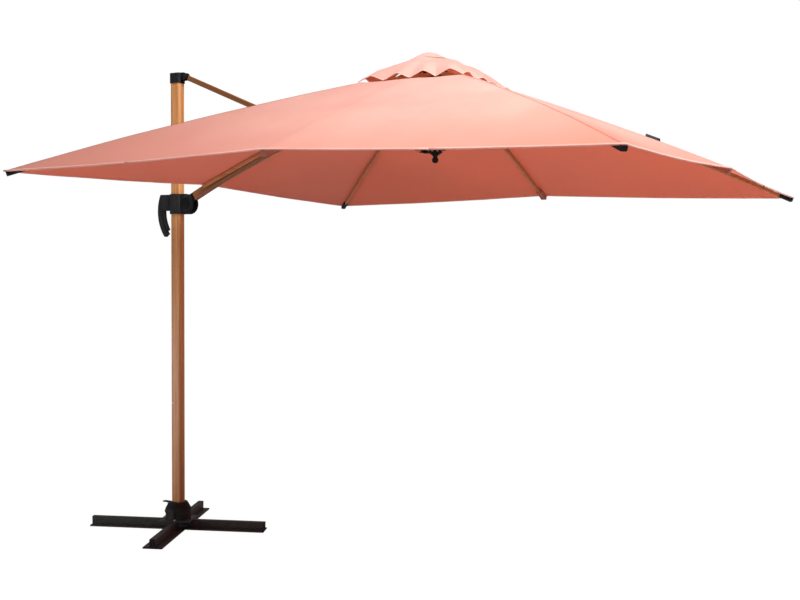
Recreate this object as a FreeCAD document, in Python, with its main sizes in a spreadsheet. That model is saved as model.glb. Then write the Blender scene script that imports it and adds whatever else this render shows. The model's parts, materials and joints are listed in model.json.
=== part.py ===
"""Cantilever parasol: a square canopy on a side mast with a sliding carriage.

Millimetres.  Origin on the mast's axis at floor level, +X from the mast towards
the middle of the canopy, +Z up.
"""
import FreeCAD, Part
import math
import os

import Sketcher
from FreeCAD import Placement, Rotation, Vector

os.makedirs("parts", exist_ok=True)
doc = FreeCAD.newDocument("cantilever_parasol")
dims = doc.addObject("Spreadsheet::Sheet", "dims")
X_AXIS, Y_AXIS, Z_AXIS = Vector(1, 0, 0), Vector(0, 1, 0), Vector(0, 0, 1)

DRIVING = {
    # cross base
    "beam_turn": 24.5,
    "beam_reach": 522,
    "flange_width": 110,
    "flange_height": 8,
    "web_width": 32,
    "web_height": 53,
    "beam_wall": 4,
    "end_cap_length": 6,
    "plate_side": 190,
    "plate_height": 6,
    "plate_bolt_offset": 78,
    "bolt_radius": 4,
    "bolt_head_radius": 7,
    "bolt_head_height": 5,
    "bolt_play": 0.3,
    # turntable
    "housing_radius": 75,
    "housing_shoulder_radius": 54,
    "housing_height": 100,
    "housing_straight": 62,
    "sleeve_radius": 45,
    "sleeve_height": 97,
    "sleeve_collar_radius": 39.6,
    "collar_height": 14,
    "running_play": 0.05,
    "notch_width": 5,
    "notch_depth": 8,
    "pedal_width": 26,
    "pedal_pivot": 64,
    "pedal_height": 142,
    "pedal_reach": 110,
    "pedal_pin_radius": 3,
    "knob_height": 92,
    "knob_radius": 16,
    "knob_length": 16,
    "knob_stem_radius": 5,
    # mast
    "mast_depth": 68,
    "mast_width": 50,
    "mast_corner": 12,
    "mast_wall": 2,
    "mast_foot": 64,
    "mast_top": 2600,
    "cap_skirt": 2585,
    "cap_top": 2641,
    "cap_wall": 5,
    "stop_height": 424,
    "stop_radius": 9,
    "stop_length": 8,
    "stop_stem_radius": 3,
    # carriage
    "carriage_low": 1844,
    "carriage_high": 1958,
    "liner_play": 1,
    "liner_wall": 3,
    "shell_wall": 4,
    "lug_radius": 57,
    "lug_gap": 18,
    "lug_wall": 6,
    "handle_reach": 139,
    "handle_middle": 1860,
    "handle_bow": 243,
    "handle_thickness": 28,
    "handle_width": 26,
    "lever_thickness": 12,
    "lever_width": 20,
    "lever_gap": 6,
    "lever_side_gap": 0.4,
    # arm and strut
    "top_pivot_x": 56,
    "top_pivot_z": 2620,
    "foot_pivot_x": 100,
    "foot_pivot_z": 1930,
    "tip_pivot_x": 1570,
    "tip_pivot_z": 2535,
    "arm_rise": 30,
    "arm_depth": 50,
    "arm_width": 32,
    "arm_corner": 9,
    "arm_wall": 2,
    "arm_foot_gap": 34,
    "arm_tip_gap": 76,
    "saddle_share": 0.51,
    "saddle_height": 46,
    "strut_depth": 28,
    "strut_width": 20,
    "strut_corner": 5,
    "strut_wall": 2,
    "strut_gap": 30,
    "pin_radius": 5,
    "ear_wall": 8,
    "ear_play": 0.5,
    # canopy frame
    "hub_x": 1670,
    "hub_pivot_z": 2518,
    "hub_pivot_radius": 45,
    "hub_radius": 54,
    "rail_pivot_radius": 85,
    "rail_spread": 40,
    "rib_height": 20,
    "rib_width": 12,
    "rib_wall": 1.5,
    "mid_reach": 1450,
    "mid_tip_z": 1995,
    "mid_rise": 14,
    "corner_reach": 2050,
    "corner_tip_z": 1955,
    "corner_rise": 28,
    "knuckle_length": 26,
    "knuckle_width": 10,
    "knuckle_radius": 8,
    "rib_pin_radius": 2.5,
    "tip_cap_length": 80,
    "tip_cap_width": 28,
    "tip_cap_height": 21,
    "runner_drop": 378,
    "runner_drop_closed": 1080,
    "runner_pivot_radius": 26,
    "runner_radius": 36,
    "runner_core": 16,
    "slot_width": 9,
    "stretcher_width": 8,
    "stretcher_height": 12,
    "clamp_drop": 23,
    "closed_rib_angle": 86.5,
    # canopy
    "fabric_half_side": 1460,
    "fabric_height": 15.5,
    "fabric_thickness": 1.2,
    "vent_half_side": 273,
    "crown_half_side": 285,
    "crown_top": 2604,
    "crown_shoulder_side": 110,
    "crown_shoulder_top": 2578,
    "crown_edge_z": 2484,
    "slit_half_width": 26,
    "seam_gap": 0.5,
}


class Size:
    """A number with the sheet expression that gives it."""

    def __init__(self, value, text):
        self.value = float(value)
        self.text = text

    def __add__(self, other):
        other = size_of(other)
        return Size(self.value + other.value, f"({self.text} + {other.text})")

    def __sub__(self, other):
        other = size_of(other)
        return Size(self.value - other.value, f"({self.text} - {other.text})")

    def __rsub__(self, other):
        return size_of(other) - self

    def __mul__(self, other):
        other = size_of(other)
        return Size(self.value * other.value, f"({self.text} * {other.text})")

    def __truediv__(self, other):
        other = size_of(other)
        return Size(self.value / other.value, f"({self.text} / {other.text})")

    def __neg__(self):
        return Size(-self.value, f"(-1 * {self.text})")

    __radd__ = __add__
    __rmul__ = __mul__


def size_of(item):
    return item if isinstance(item, Size) else Size(item, repr(float(item)))


class Sheet:
    """Reads the sheet's aliases as Size values."""

    def __getattr__(self, alias):
        return Size(DRIVING[alias], f"dims.{alias}")


for row, (alias, number) in enumerate(DRIVING.items(), start=1):
    dims.set(f"A{row}", str(number))
    dims.setAlias(f"A{row}", alias)
doc.recompute()
d = Sheet()
parts = {}


def bind(item, name, size):
    """Set a property, from the sheet where the size comes from it."""
    if isinstance(size, Size):
        item.setExpression(name, size.text)
    else:
        setattr(item, name, float(size))


def stand(item, base, turn=None):
    """Place an object: base from the sheet, turn a Rotation."""
    item.Placement = Placement(Vector(*[size_of(b).value for b in base]), turn or Rotation())
    for letter, size in zip("xyz", base):
        if isinstance(size, Size):
            bind(item, f"Placement.Base.{letter}", size)
    return item


def solid(kind, name, base, turn=None, **sizes):
    item = doc.addObject(f"Part::{kind}", name)
    for prop, size in sizes.items():
        bind(item, prop, size)
    return stand(item, base, turn)


def box(name, low, lengths):
    return solid("Box", name, low, Length=lengths[0], Width=lengths[1], Height=lengths[2])


def middle_box(name, x, z, lengths):
    """A box centred on the XZ plane, with its low X and Z corner given."""
    return box(name, (x, -(lengths[1] / 2), z), lengths)


UP = Rotation()
ACROSS = Rotation(X_AXIS, -90)
REARWARD = Rotation(Y_AXIS, -90)


def post(name, base, radius, height, turn=UP):
    return solid("Cylinder", name, base, turn, Radius=radius, Height=height)


def across(name, x, z, radius, width):
    """A cylinder along Y, centred on the XZ plane."""
    width = size_of(width)
    return post(name, (x, -(width / 2), z), radius, width, ACROSS)


def cut(name, base, *tools):
    tool = tools[0] if len(tools) == 1 else fuse(name + "_tools", *tools)
    item = doc.addObject("Part::Cut", name)
    item.Base = base
    item.Tool = tool
    return item


def fuse(name, *shapes):
    item = doc.addObject("Part::MultiFuse", name)
    item.Shapes = list(shapes)
    return item


def group(name, *shapes):
    """Separate solids that share one node."""
    item = doc.addObject("Part::Compound", name)
    item.Links = list(shapes)
    return item


def node(name, item):
    item.Label = name
    parts[name] = item
    return item


# ---------------------------------------------------------------- sketches
def new_body(name):
    return doc.addObject("PartDesign::Body", name)


def new_sketch(body, name, role):
    sketch = body.newObject("Sketcher::SketchObject", name)
    plane = [f for f in body.Origin.OriginFeatures if f.Role == role][0]
    sketch.AttachmentSupport = [(plane, "")]
    sketch.MapMode = "FlatFace"
    return sketch


def constrain(sketch, kind, *args, size):
    number = sketch.addConstraint(Sketcher.Constraint(kind, *args, size.value))
    sketch.setExpression(f"Constraints[{number}]", size.text)


def outline(sketch, corners):
    """A closed polygon whose corners are held by their distances from the origin."""
    corners = [(size_of(x), size_of(y)) for x, y in corners]
    count = len(corners)
    first = sketch.GeometryCount
    for k, (x, y) in enumerate(corners):
        nx, ny = corners[(k + 1) % count]
        sketch.addGeometry(Part.LineSegment(Vector(x.value, y.value), Vector(nx.value, ny.value)))
    for k, (x, y) in enumerate(corners):
        line, following = first + k, first + (k + 1) % count
        sketch.addConstraint(Sketcher.Constraint("Coincident", line, 2, following, 1))
        for kind, size in (("DistanceX", x), ("DistanceY", y)):
            constrain(sketch, kind, -1, 1, line, 1, size=size)


def rounded(sketch, x, width, height, corner):
    """A rounded rectangle with its middle at (x, 0)."""
    x, width, height, corner = [size_of(s) for s in (x, width, height, corner)]
    first = sketch.GeometryCount
    wide, tall, radius = width.value / 2, height.value / 2, corner.value
    inner = Vector(wide - radius, tall - radius)
    middle = Vector(x.value, 0)
    for k, (sx, sy) in enumerate(((1, 1), (-1, 1), (-1, -1), (1, -1))):
        centre = middle + Vector(sx * inner.x, sy * inner.y)
        start = math.radians(90 * k)
        circle = Part.Circle(centre, Z_AXIS, radius)
        sketch.addGeometry(Part.ArcOfCircle(circle, start, start + math.pi / 2))
    for k in range(4):
        here, there = first + k, first + (k + 1) % 4
        ends = [sketch.getPoint(here, 2), sketch.getPoint(there, 1)]
        line = sketch.addGeometry(Part.LineSegment(*ends))
        sketch.addConstraint(Sketcher.Constraint("Tangent", here, 2, line, 1))
        sketch.addConstraint(Sketcher.Constraint("Tangent", line, 2, there, 1))
    for k in (1, 2, 3):
        sketch.addConstraint(Sketcher.Constraint("Equal", first, first + k))
    top, left, bottom, right = range(first + 4, first + 8)
    sketch.addConstraint(Sketcher.Constraint("Horizontal", top))
    sketch.addConstraint(Sketcher.Constraint("Vertical", left))
    constrain(sketch, "Radius", first, size=corner)
    constrain(sketch, "DistanceX", -1, 1, right, 1, size=x + width / 2)
    constrain(sketch, "DistanceX", -1, 1, left, 1, size=x - width / 2)
    constrain(sketch, "DistanceY", -1, 1, top, 1, size=height / 2)
    constrain(sketch, "DistanceY", -1, 1, bottom, 1, size=-(height / 2))


def pad(body, sketch, length, both_ways=False):
    feature = body.newObject("PartDesign::Pad", sketch.Name + "_pad")
    feature.Profile = sketch
    feature.SideType = "Symmetric" if both_ways else "One side"
    bind(feature, "Length", length)
    return feature


def tube(name, outer, wall, length, base, turn=None):
    """A rounded rectangular tube along its own Z: outer is (x, y, corner)."""
    body = new_body(name)
    sketch = new_sketch(body, name + "_section", "XY_Plane")
    rounded(sketch, 0, *outer)
    rounded(sketch, 0, outer[0] - wall * 2, outer[1] - wall * 2, outer[2] - wall)
    pad(body, sketch, length)
    return stand(body, base, turn)


def bent_tube(name, outer, wall, curve, start, length):
    """A rounded tube along part of a curve in the XZ plane.

    outer is (depth, width, corner); start and length are measured along the curve.
    """
    body = new_body(name)
    sketch = new_sketch(body, name + "_section", "XY_Plane")
    radius = size_of(curve.radius)
    rounded(sketch, radius, *outer)
    rounded(sketch, radius, outer[0] - wall * 2, outer[1] - wall * 2, outer[2] - wall)
    feature = body.newObject("PartDesign::Revolution", name + "_sweep")
    feature.Profile = sketch
    feature.ReferenceAxis = (sketch, ["V_Axis"])
    feature.Angle = math.degrees(length / curve.radius)
    body.Placement = curve.frame(start)
    return body


class Curve:
    """An arc in the XZ plane from one point to another, bowed upwards by rise."""

    def __init__(self, start, end, rise):
        chord = math.dist(start, end)
        self.start, self.end = start, end
        self.radius = (chord * chord / 4 + rise * rise) / (2 * rise)
        self.half = math.asin(chord / 2 / self.radius)
        self.slope = math.atan2(end[1] - start[1], end[0] - start[0])
        self.length = 2 * self.half * self.radius
        normal = (-math.sin(self.slope), math.cos(self.slope))
        down = self.radius - rise
        self.centre = [(start[k] + end[k]) / 2 - normal[k] * down for k in (0, 1)]

    def angle(self, along):
        """The slope of the curve at a distance along it, in radians."""
        return self.slope + self.half * (1 - 2 * along / self.length)

    def point(self, along, above=0):
        angle = self.angle(along)
        out = self.radius + above
        return (self.centre[0] - math.sin(angle) * out, self.centre[1] + math.cos(angle) * out)

    def frame(self, along):
        """Carries the local +X axis onto the outward normal at a distance along the curve."""
        turn = 90 + math.degrees(self.angle(along))
        return Placement(Vector(self.centre[0], 0, self.centre[1]), Rotation(Y_AXIS, -turn))


def along_line(start, angle):
    """Places local X along a direction in the XZ plane and local Z square to it."""
    turn = Rotation(Y_AXIS, -math.degrees(angle))
    return Placement(Vector(start[0], 0, start[1]), turn)


def moved(item, place):
    """Place a finished combination as a whole."""
    item.Placement = place
    return item


# ---------------------------------------------------------------- cross base
plate_low = d.web_height
housing_low = plate_low + d.plate_height
BEAM_TURN = DRIVING["beam_turn"]


def beam(name, low, high):
    """An inverted T with a hollow web, along its own X from low to high."""
    half_flange, half_web = d.flange_width / 2, d.web_width / 2
    flange = box(name + "_flange", (low, -half_flange, 0), (high - low, d.flange_width, d.flange_height))
    web = box(name + "_web", (low, -half_web, 0), (high - low, d.web_width, d.web_height))
    hollow_low = d.flange_height
    hollow = box(
        name + "_hollow",
        (low - 1, -half_web + d.beam_wall, hollow_low),
        (high - low + 2, d.web_width - d.beam_wall * 2, d.web_height - d.beam_wall - hollow_low),
    )
    return cut(name + "_cut", fuse(name + "_profile", flange, web), hollow)


def bolt_places():
    return [Vector(DRIVING["plate_bolt_offset"], 0, 0), Vector(-DRIVING["plate_bolt_offset"], 0, 0)]


def bolt_holes(name):
    low, height = d.web_height - d.beam_wall - 1, d.beam_wall + d.plate_height + 2
    holes = []
    for k, place in enumerate(bolt_places()):
        radius = d.bolt_radius + d.bolt_play
        holes.append(post(f"{name}_{k}", (place.x, 0, low), radius, height))
    return holes


turned = Placement(Vector(), Rotation(Z_AXIS, BEAM_TURN))
square_to = Placement(Vector(), Rotation(Z_AXIS, BEAM_TURN + 90))
reach = d.beam_reach - d.end_cap_length
long_beam = cut("long_beam", beam("long", -reach, reach), *bolt_holes("long_hole"))
node("cross_beam_long", moved(long_beam, turned))
half_start = d.flange_width / 2 + d.bolt_play
for side, name in ((1, "cross_beam_front"), (-1, "cross_beam_back")):
    ends = (half_start, reach) if side > 0 else (-reach, -half_start)
    half_beam = cut(name + "_body", beam(name + "_raw", *ends), *bolt_holes(name + "_hole"))
    node(name, moved(half_beam, Placement(Vector(), Rotation(Z_AXIS, BEAM_TURN - 90))))

end_caps = []
for k in range(4):
    half_flange, half_web = d.flange_width / 2, d.web_width / 2
    foot_size = (d.end_cap_length, d.flange_width, d.flange_height)
    foot = box(f"cap_foot_{k}", (reach, -half_flange, 0), foot_size)
    face = box(f"cap_face_{k}", (reach, -half_web, 0), (d.end_cap_length, d.web_width, d.web_height))
    cap = fuse(f"end_cap_{k}", foot, face)
    end_caps.append(moved(cap, Placement(Vector(), Rotation(Z_AXIS, BEAM_TURN + 90 * k))))
node("beam_end_caps", group("end_caps", *end_caps))

half_plate = d.plate_side / 2
plate_size = (d.plate_side, d.plate_side, d.plate_height)
plate = box("plate_blank", (-half_plate, -half_plate, plate_low), plate_size)
side_holes = fuse("side_holes", *bolt_holes("side_hole"))
moved(side_holes, Placement(Vector(), Rotation(Z_AXIS, 90)))
node("base_plate", moved(cut("plate", plate, *bolt_holes("plate_hole"), side_holes), turned))

bolts = []
for turn in (0, 90):
    for k, place in enumerate(bolt_places()):
        shank_low = d.web_height - d.beam_wall
        grip_length = d.beam_wall + d.plate_height
        shank = post(f"shank_{turn}_{k}", (place.x, 0, shank_low), d.bolt_radius, grip_length)
        head_low = plate_low + d.plate_height
        head = post(f"head_{turn}_{k}", (place.x, 0, head_low), d.bolt_head_radius, d.bolt_head_height)
        bolt = fuse(f"bolt_{turn}_{k}", shank, head)
        bolts.append(moved(bolt, Placement(Vector(), Rotation(Z_AXIS, BEAM_TURN + turn))))
node("plate_bolts", group("bolts", *bolts))

# ---------------------------------------------------------------- turntable
bore = d.sleeve_radius + d.running_play
housing = new_body("housing")
housing_sketch = new_sketch(housing, "housing_section", "XZ_Plane")
housing_top = housing_low + d.housing_height
outline(
    housing_sketch,
    [
        (bore, housing_low),
        (d.housing_radius, housing_low),
        (d.housing_radius, housing_low + d.housing_straight),
        (d.housing_shoulder_radius, housing_top),
        (bore, housing_top),
    ],
)
spin = housing.newObject("PartDesign::Revolution", "housing_spin")
spin.Profile = housing_sketch
spin.ReferenceAxis = (housing_sketch, ["V_Axis"])
spin.Angle = 360

pedal_x, pedal_z = -d.pedal_pivot, d.pedal_height
slot_half = d.pedal_width / 2 + 1
pedal_slot = box(
    "pedal_slot",
    (-d.housing_radius - 1, -slot_half, d.pedal_height - 20),
    (d.housing_radius + 1, slot_half * 2, 60),
)
stem_hole = post(
    "stem_hole", (0, 0, d.knob_height), d.knob_stem_radius + d.running_play, d.housing_radius + 1, REARWARD
)
recesses = []
recess_radius = d.bolt_head_radius + 1
recess_height = d.plate_height + d.bolt_head_height + 1
for k in range(4):
    turn = Rotation(Z_AXIS, BEAM_TURN + 90 * k)
    spot = turn.multVec(Vector(DRIVING["plate_bolt_offset"], 0, DRIVING["web_height"]))
    recesses.append(post(f"bolt_recess_{k}", tuple(spot), recess_radius, recess_height, turn))
pedal_pin_hole = across("pedal_pin_hole", pedal_x, pedal_z, d.pedal_pin_radius, d.pedal_width + 16)
node(
    "pivot_housing",
    cut("housing_cut", housing, pedal_slot, stem_hole, pedal_pin_hole, *recesses),
)
node("pedal_pin", across("pedal_pin_body", pedal_x, pedal_z, d.pedal_pin_radius, d.pedal_width + 16))

sleeve_low = housing_low + 0.5
collar_low = sleeve_low + d.sleeve_height - d.collar_height
sleeve_body = post("sleeve_body", (0, 0, sleeve_low), d.sleeve_radius, d.sleeve_height - d.collar_height)
sleeve_collar = post("sleeve_collar", (0, 0, sleeve_low), d.sleeve_collar_radius, d.sleeve_height)
socket = tube(
    "socket",
    (d.mast_depth, d.mast_width, d.mast_corner),
    6,
    d.sleeve_height,
    (0, 0, d.mast_foot),
)
socket_core = tube(
    "socket_core",
    (d.mast_depth - 0.02, d.mast_width - 0.02, d.mast_corner),
    11,
    d.sleeve_height,
    (0, 0, d.mast_foot),
)
core = box("core", (-25, -16, d.mast_foot), (50, 32, d.sleeve_height))
notches = []
notch_corner = Vector(-DRIVING["sleeve_radius"] - 1, -DRIVING["notch_width"] / 2, 0)
notch_step = 15
for k in range(180 // notch_step):
    turn = Rotation(Z_AXIS, notch_step * k)
    corner = turn.multVec(notch_corner)
    long_notch = solid(
        "Box",
        f"notch_{k}",
        (corner.x, corner.y, collar_low - d.notch_depth),
        turn,
        Length=(d.sleeve_radius + 1) * 2,
        Width=d.notch_width,
        Height=d.notch_depth + 1,
    )
    notches.append(long_notch)
keep = post("notch_keep", (0, 0, sleeve_low), d.sleeve_collar_radius, d.sleeve_height)
teeth = cut("teeth", fuse("notch_star", *notches), keep)
raw_sleeve = fuse("raw_sleeve", sleeve_body, sleeve_collar)
node("turn_sleeve", cut("sleeve_cut", raw_sleeve, teeth, socket, socket_core, core))

# pedal: a tongue outside, a tooth in the sleeve's notch inside, on the pin's axis
tongue = middle_box(
    "tongue", -d.pedal_reach, d.pedal_height + 3, (d.pedal_reach - d.pedal_pivot, d.pedal_width, 6)
)
pedal_boss = across("pedal_boss", pedal_x, pedal_z, 9, d.pedal_width)
tooth_bar = middle_box("tooth_bar", pedal_x, pedal_z + 2, (23, 12, 7))
tooth_low = collar_low - d.notch_depth + 1
tooth = middle_box(
    "tooth", -d.sleeve_radius + 0.6, tooth_low, (4, d.notch_width - 1, pedal_z + 9 - tooth_low)
)
pin_bore = across("pin_bore", pedal_x, pedal_z, d.pedal_pin_radius + d.running_play, d.pedal_width + 2)
pedal = cut("pedal", fuse("pedal_raw", tongue, pedal_boss, tooth_bar, tooth), pin_bore)
node("foot_pedal", pedal)

knob_low = d.housing_radius + 1
knob_head = post("knob_head", (-knob_low, 0, d.knob_height), d.knob_radius, d.knob_length, REARWARD)
stem_start = d.sleeve_radius + 0.6
stem = post(
    "stem", (-stem_start, 0, d.knob_height), d.knob_stem_radius, knob_low - stem_start + 2, REARWARD
)
node("clamp_knob", fuse("clamp_knob_body", knob_head, stem))

# ---------------------------------------------------------------- mast
mast_outer = (d.mast_depth, d.mast_width, d.mast_corner)
mast = tube("mast", mast_outer, d.mast_wall, d.mast_top - d.mast_foot, (0, 0, d.mast_foot))
rear_face = -(d.mast_depth / 2)
stop_hole = post(
    "stop_hole", (rear_face + 5, 0, d.stop_height), d.stop_stem_radius, 10, REARWARD
)
node("mast_tube", cut("mast_cut", mast, stop_hole))
stop_head = post("stop_head", (rear_face, 0, d.stop_height), d.stop_radius, d.stop_length, REARWARD)
stop_stem = post(
    "stop_stem", (rear_face + d.mast_wall, 0, d.stop_height), d.stop_stem_radius, d.mast_wall, REARWARD
)
node("rear_stop", fuse("rear_stop_body", stop_head, stop_stem))


def rounded_block(name, depth, width, corner, height, base, turn=None):
    body = new_body(name)
    sketch = new_sketch(body, name + "_section", "XY_Plane")
    rounded(sketch, 0, depth, width, corner)
    pad(body, sketch, height)
    return stand(body, base, turn)


cap_block = rounded_block(
    "cap_block",
    d.mast_depth + d.cap_wall * 2,
    d.mast_width + d.cap_wall * 2,
    d.mast_corner + d.cap_wall,
    d.cap_top - d.cap_skirt,
    (0, 0, d.cap_skirt),
)
bore_height = d.mast_top - d.cap_skirt + 1
cap_bore = rounded_block(
    "cap_bore", d.mast_depth, d.mast_width, d.mast_corner, bore_height, (0, 0, d.cap_skirt - 1)
)
ear_inner = d.strut_width / 2 + d.ear_play
ear_outer = ear_inner + d.ear_wall
top_ears = fuse(
    "top_ears",
    across("top_ear_round", d.top_pivot_x, d.top_pivot_z, 21, ear_outer * 2),
    middle_box("top_ear_root", 30, d.top_pivot_z - 21, (d.top_pivot_x - 30, ear_outer * 2, 42)),
)
ear_slot = middle_box(
    "ear_slot", d.mast_depth / 2 + d.cap_wall, d.top_pivot_z - 40, (60, ear_inner * 2, 80)
)
top_pin = across("top_pin", d.top_pivot_x, d.top_pivot_z, d.pin_radius, ear_outer * 2)
cap_cut = cut("cap_cut", fuse("cap_fused", cap_block, top_ears), cap_bore, ear_slot)
node("top_cap", fuse("top_cap_body", cap_cut, top_pin))

# ---------------------------------------------------------------- carriage
carriage_height = d.carriage_high - d.carriage_low
liner_gap = d.liner_play * 2
bore_size = (d.mast_depth + liner_gap, d.mast_width + liner_gap, d.mast_corner + d.liner_play)
lined = [bore_size[0] + d.liner_wall * 2, bore_size[1] + d.liner_wall * 2, bore_size[2] + d.liner_wall]
shelled = [lined[0] + d.shell_wall * 2, lined[1] + d.shell_wall * 2, lined[2] + d.shell_wall]
node("carriage_liner", tube("liner", lined, d.liner_wall, carriage_height, (0, 0, d.carriage_low)))
sleeve_tube = tube("carriage_tube", shelled, d.shell_wall, carriage_height, (0, 0, d.carriage_low))
lug_outer = d.lug_gap + d.lug_wall
lug_x = 76
shell_front = shelled[0] / 2 - 1
lugs = []
for side, low_y in (("left", d.lug_gap), ("right", -lug_outer)):
    plate_size = (lug_x - shell_front, d.lug_wall, carriage_height)
    plate = box(f"lug_plate_{side}", (shell_front, low_y, d.carriage_low), plate_size)
    disc_place = (lug_x, low_y, d.carriage_low + d.lug_radius)
    disc = post(f"lug_disc_{side}", disc_place, d.lug_radius, d.lug_wall, ACROSS)
    lugs += [plate, disc]

handle_axis = d.handle_bow - d.handle_reach
grip_inner = d.handle_bow - d.handle_thickness


def bow(name, outer, inner, width, first, last):
    """Part of a ring about the handle's axis between two angles from the rearward level."""
    item = across(name + "_outer", handle_axis, d.handle_middle, outer, width)
    item.Angle = last - first
    item.Placement.Rotation = Rotation(ACROSS.multVec(Z_AXIS), 180 - last).multiply(ACROSS)
    core_cut = across(name + "_inner", handle_axis, d.handle_middle, inner, width + 2)
    return cut(name, item, core_cut)


grip = bow("grip", d.handle_bow, grip_inner, d.handle_width, -23, 37)
bridge = middle_box("bridge", -118, 1926, (80, d.handle_width, 30))
liner_room = rounded_block("liner_room", *lined, carriage_height + 1, (0, 0, d.carriage_low))
node("carriage_shell", cut("carriage_shell_body", fuse("carriage_raw", sleeve_tube, *lugs), liner_room))
lever_pin_place = (-93, 1906)
lever_pin_radius = 2.5
cheek_low = 1864
cheek_back = -120
fork = [grip, bridge]
cheek_inner = d.lever_width / 2 + d.lever_side_gap
cheek_wall = d.handle_width / 2 - cheek_inner
cheek_size = (cheek_back * -1 - 38, cheek_wall, 1930 - cheek_low)
for side, low_y in (("left", cheek_inner), ("right", -(d.handle_width / 2))):
    fork.append(box(f"handle_cheek_{side}", (cheek_back, low_y, cheek_low), cheek_size))
fork.append(across("lever_pin", *lever_pin_place, lever_pin_radius, d.handle_width))
shell_room = rounded_block("shell_room", *shelled, carriage_height + 1, (0, 0, d.carriage_low))
node("handle_grip", cut("handle_cut", fuse("handle_raw", *fork), shell_room))
lever_outer = grip_inner - d.lever_gap
lever = bow("lever", lever_outer, lever_outer - d.lever_thickness, d.lever_width, -12, 32)
lever_eye = across("lever_eye", *lever_pin_place, 7, d.lever_width)
lever_bore = d.running_play + lever_pin_radius
lever_hole = across("lever_hole", *lever_pin_place, lever_bore, d.lever_width + 2)
node("squeeze_lever", cut("lever_cut", fuse("lever_raw", lever, lever_eye), lever_hole))

# ---------------------------------------------------------------- arm and strut
foot_pivot = (DRIVING["foot_pivot_x"], DRIVING["foot_pivot_z"])
tip_pivot = (DRIVING["tip_pivot_x"], DRIVING["tip_pivot_z"])
top_pivot = (DRIVING["top_pivot_x"], DRIVING["top_pivot_z"])
arm_curve = Curve(foot_pivot, tip_pivot, DRIVING["arm_rise"])
arm_section = (d.arm_depth, d.arm_width, d.arm_corner)
tube_start = DRIVING["arm_foot_gap"]
tube_length = arm_curve.length - tube_start - DRIVING["arm_tip_gap"]
node("arm_tube", bent_tube("arm", arm_section, d.arm_wall, arm_curve, tube_start, tube_length))
PLUG = 60
PLUG_PLAY = 0.6
arm_plug = tuple(size - d.arm_wall * 2 - PLUG_PLAY for size in (d.arm_depth, d.arm_width))
arm_plug += (d.arm_corner - d.arm_wall,)


def end_fitting(name, gap, radius, eye_width, plug, eye_hole):
    """An eye at the local origin, a neck along +X and a plug inside the tube's end."""
    neck_depth = min(plug[0].value, 2 * radius)
    eye = across(name + "_eye", 0, 0, radius, eye_width)
    neck = middle_box(name + "_neck", 0, -neck_depth / 2, (gap - 0.5, eye_width, neck_depth))
    stub = rounded_block(name + "_plug", *plug, PLUG, (gap - 4, 0, 0), Rotation(Y_AXIS, 90))
    hole = across(name + "_hole", 0, 0, eye_hole, d.arm_width + 4)
    return cut(name, fuse(name + "_raw", eye, neck, stub), hole)


foot = end_fitting("arm_foot_body", d.arm_foot_gap, 22, 28, arm_plug, d.pin_radius)
node("arm_foot", moved(foot, along_line(foot_pivot, arm_curve.angle(30))))
tip = end_fitting("arm_tip_body", d.arm_tip_gap, 17, 16, arm_plug, d.pin_radius + d.running_play)
node("arm_tip", moved(tip, along_line(tip_pivot, arm_curve.angle(arm_curve.length - 60) + math.pi)))

saddle_along = arm_curve.length * DRIVING["saddle_share"]
saddle_pivot = arm_curve.point(saddle_along, DRIVING["saddle_height"])
saddle_base = arm_curve.point(saddle_along)
half_depth = d.arm_depth / 2
cheek_inner = d.arm_width / 2 + 0.2
saddle_parts = []
for side, low_y in (("left", cheek_inner), ("right", -cheek_inner - 4)):
    saddle_parts.append(box(f"saddle_cheek_{side}", (-45, low_y, 0), (90, 4, half_depth + 5)))
saddle_parts.append(middle_box("saddle_bed", -45, half_depth + 0.5, (90, (cheek_inner + 4) * 2, 5)))
for side, low_y in (("left", ear_inner), ("right", -ear_outer)):
    ear_size = (32, d.ear_wall, d.saddle_height - half_depth - 4)
    saddle_parts.append(box(f"saddle_ear_{side}", (-16, low_y, half_depth + 4), ear_size))
    saddle_parts.append(post(f"saddle_round_{side}", (0, low_y, d.saddle_height), 16, d.ear_wall, ACROSS))
saddle_cut = cut("saddle_cut", fuse("saddle_raw", *saddle_parts), middle_box(
    "saddle_slot", -60, half_depth + 6, (120, ear_inner * 2, 60)))
saddle_pin = across("saddle_pin", 0, d.saddle_height, d.pin_radius, ear_outer * 2)
saddle = fuse("saddle", saddle_cut, saddle_pin)
node("arm_saddle", moved(saddle, along_line(saddle_base, arm_curve.angle(saddle_along))))

strut_angle = math.atan2(saddle_pivot[1] - top_pivot[1], saddle_pivot[0] - top_pivot[0])
strut_length = math.dist(top_pivot, saddle_pivot)
strut_gap = DRIVING["strut_gap"]
strut_body = new_body("strut")
strut_sketch = new_sketch(strut_body, "strut_section", "YZ_Plane")
inside = d.strut_wall * 2
rounded(strut_sketch, 0, d.strut_width, d.strut_depth, d.strut_corner)
rounded(strut_sketch, 0, d.strut_width - inside, d.strut_depth - inside, d.strut_corner - d.strut_wall)
pad(strut_body, strut_sketch, strut_length - d.strut_gap * 2)
direction = (math.cos(strut_angle), math.sin(strut_angle))
strut_start = [top_pivot[k] + direction[k] * strut_gap for k in (0, 1)]
node("strut_tube", moved(strut_body, along_line(strut_start, strut_angle)))
strut_plug = tuple(size - d.strut_wall * 2 - PLUG_PLAY for size in (d.strut_depth, d.strut_width))
strut_plug += (d.strut_corner - d.strut_wall,)
fittings = []
strut_bore = d.pin_radius + d.running_play
strut_ends = (("upper", top_pivot, strut_angle), ("lower", saddle_pivot, strut_angle + math.pi))
for name, point, angle in strut_ends:
    piece = end_fitting(f"strut_{name}", d.strut_gap, 14, d.strut_width, strut_plug, strut_bore)
    fittings.append(moved(piece, along_line(point, angle)))
node("strut_fittings", group("strut_ends", *fittings))

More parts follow.
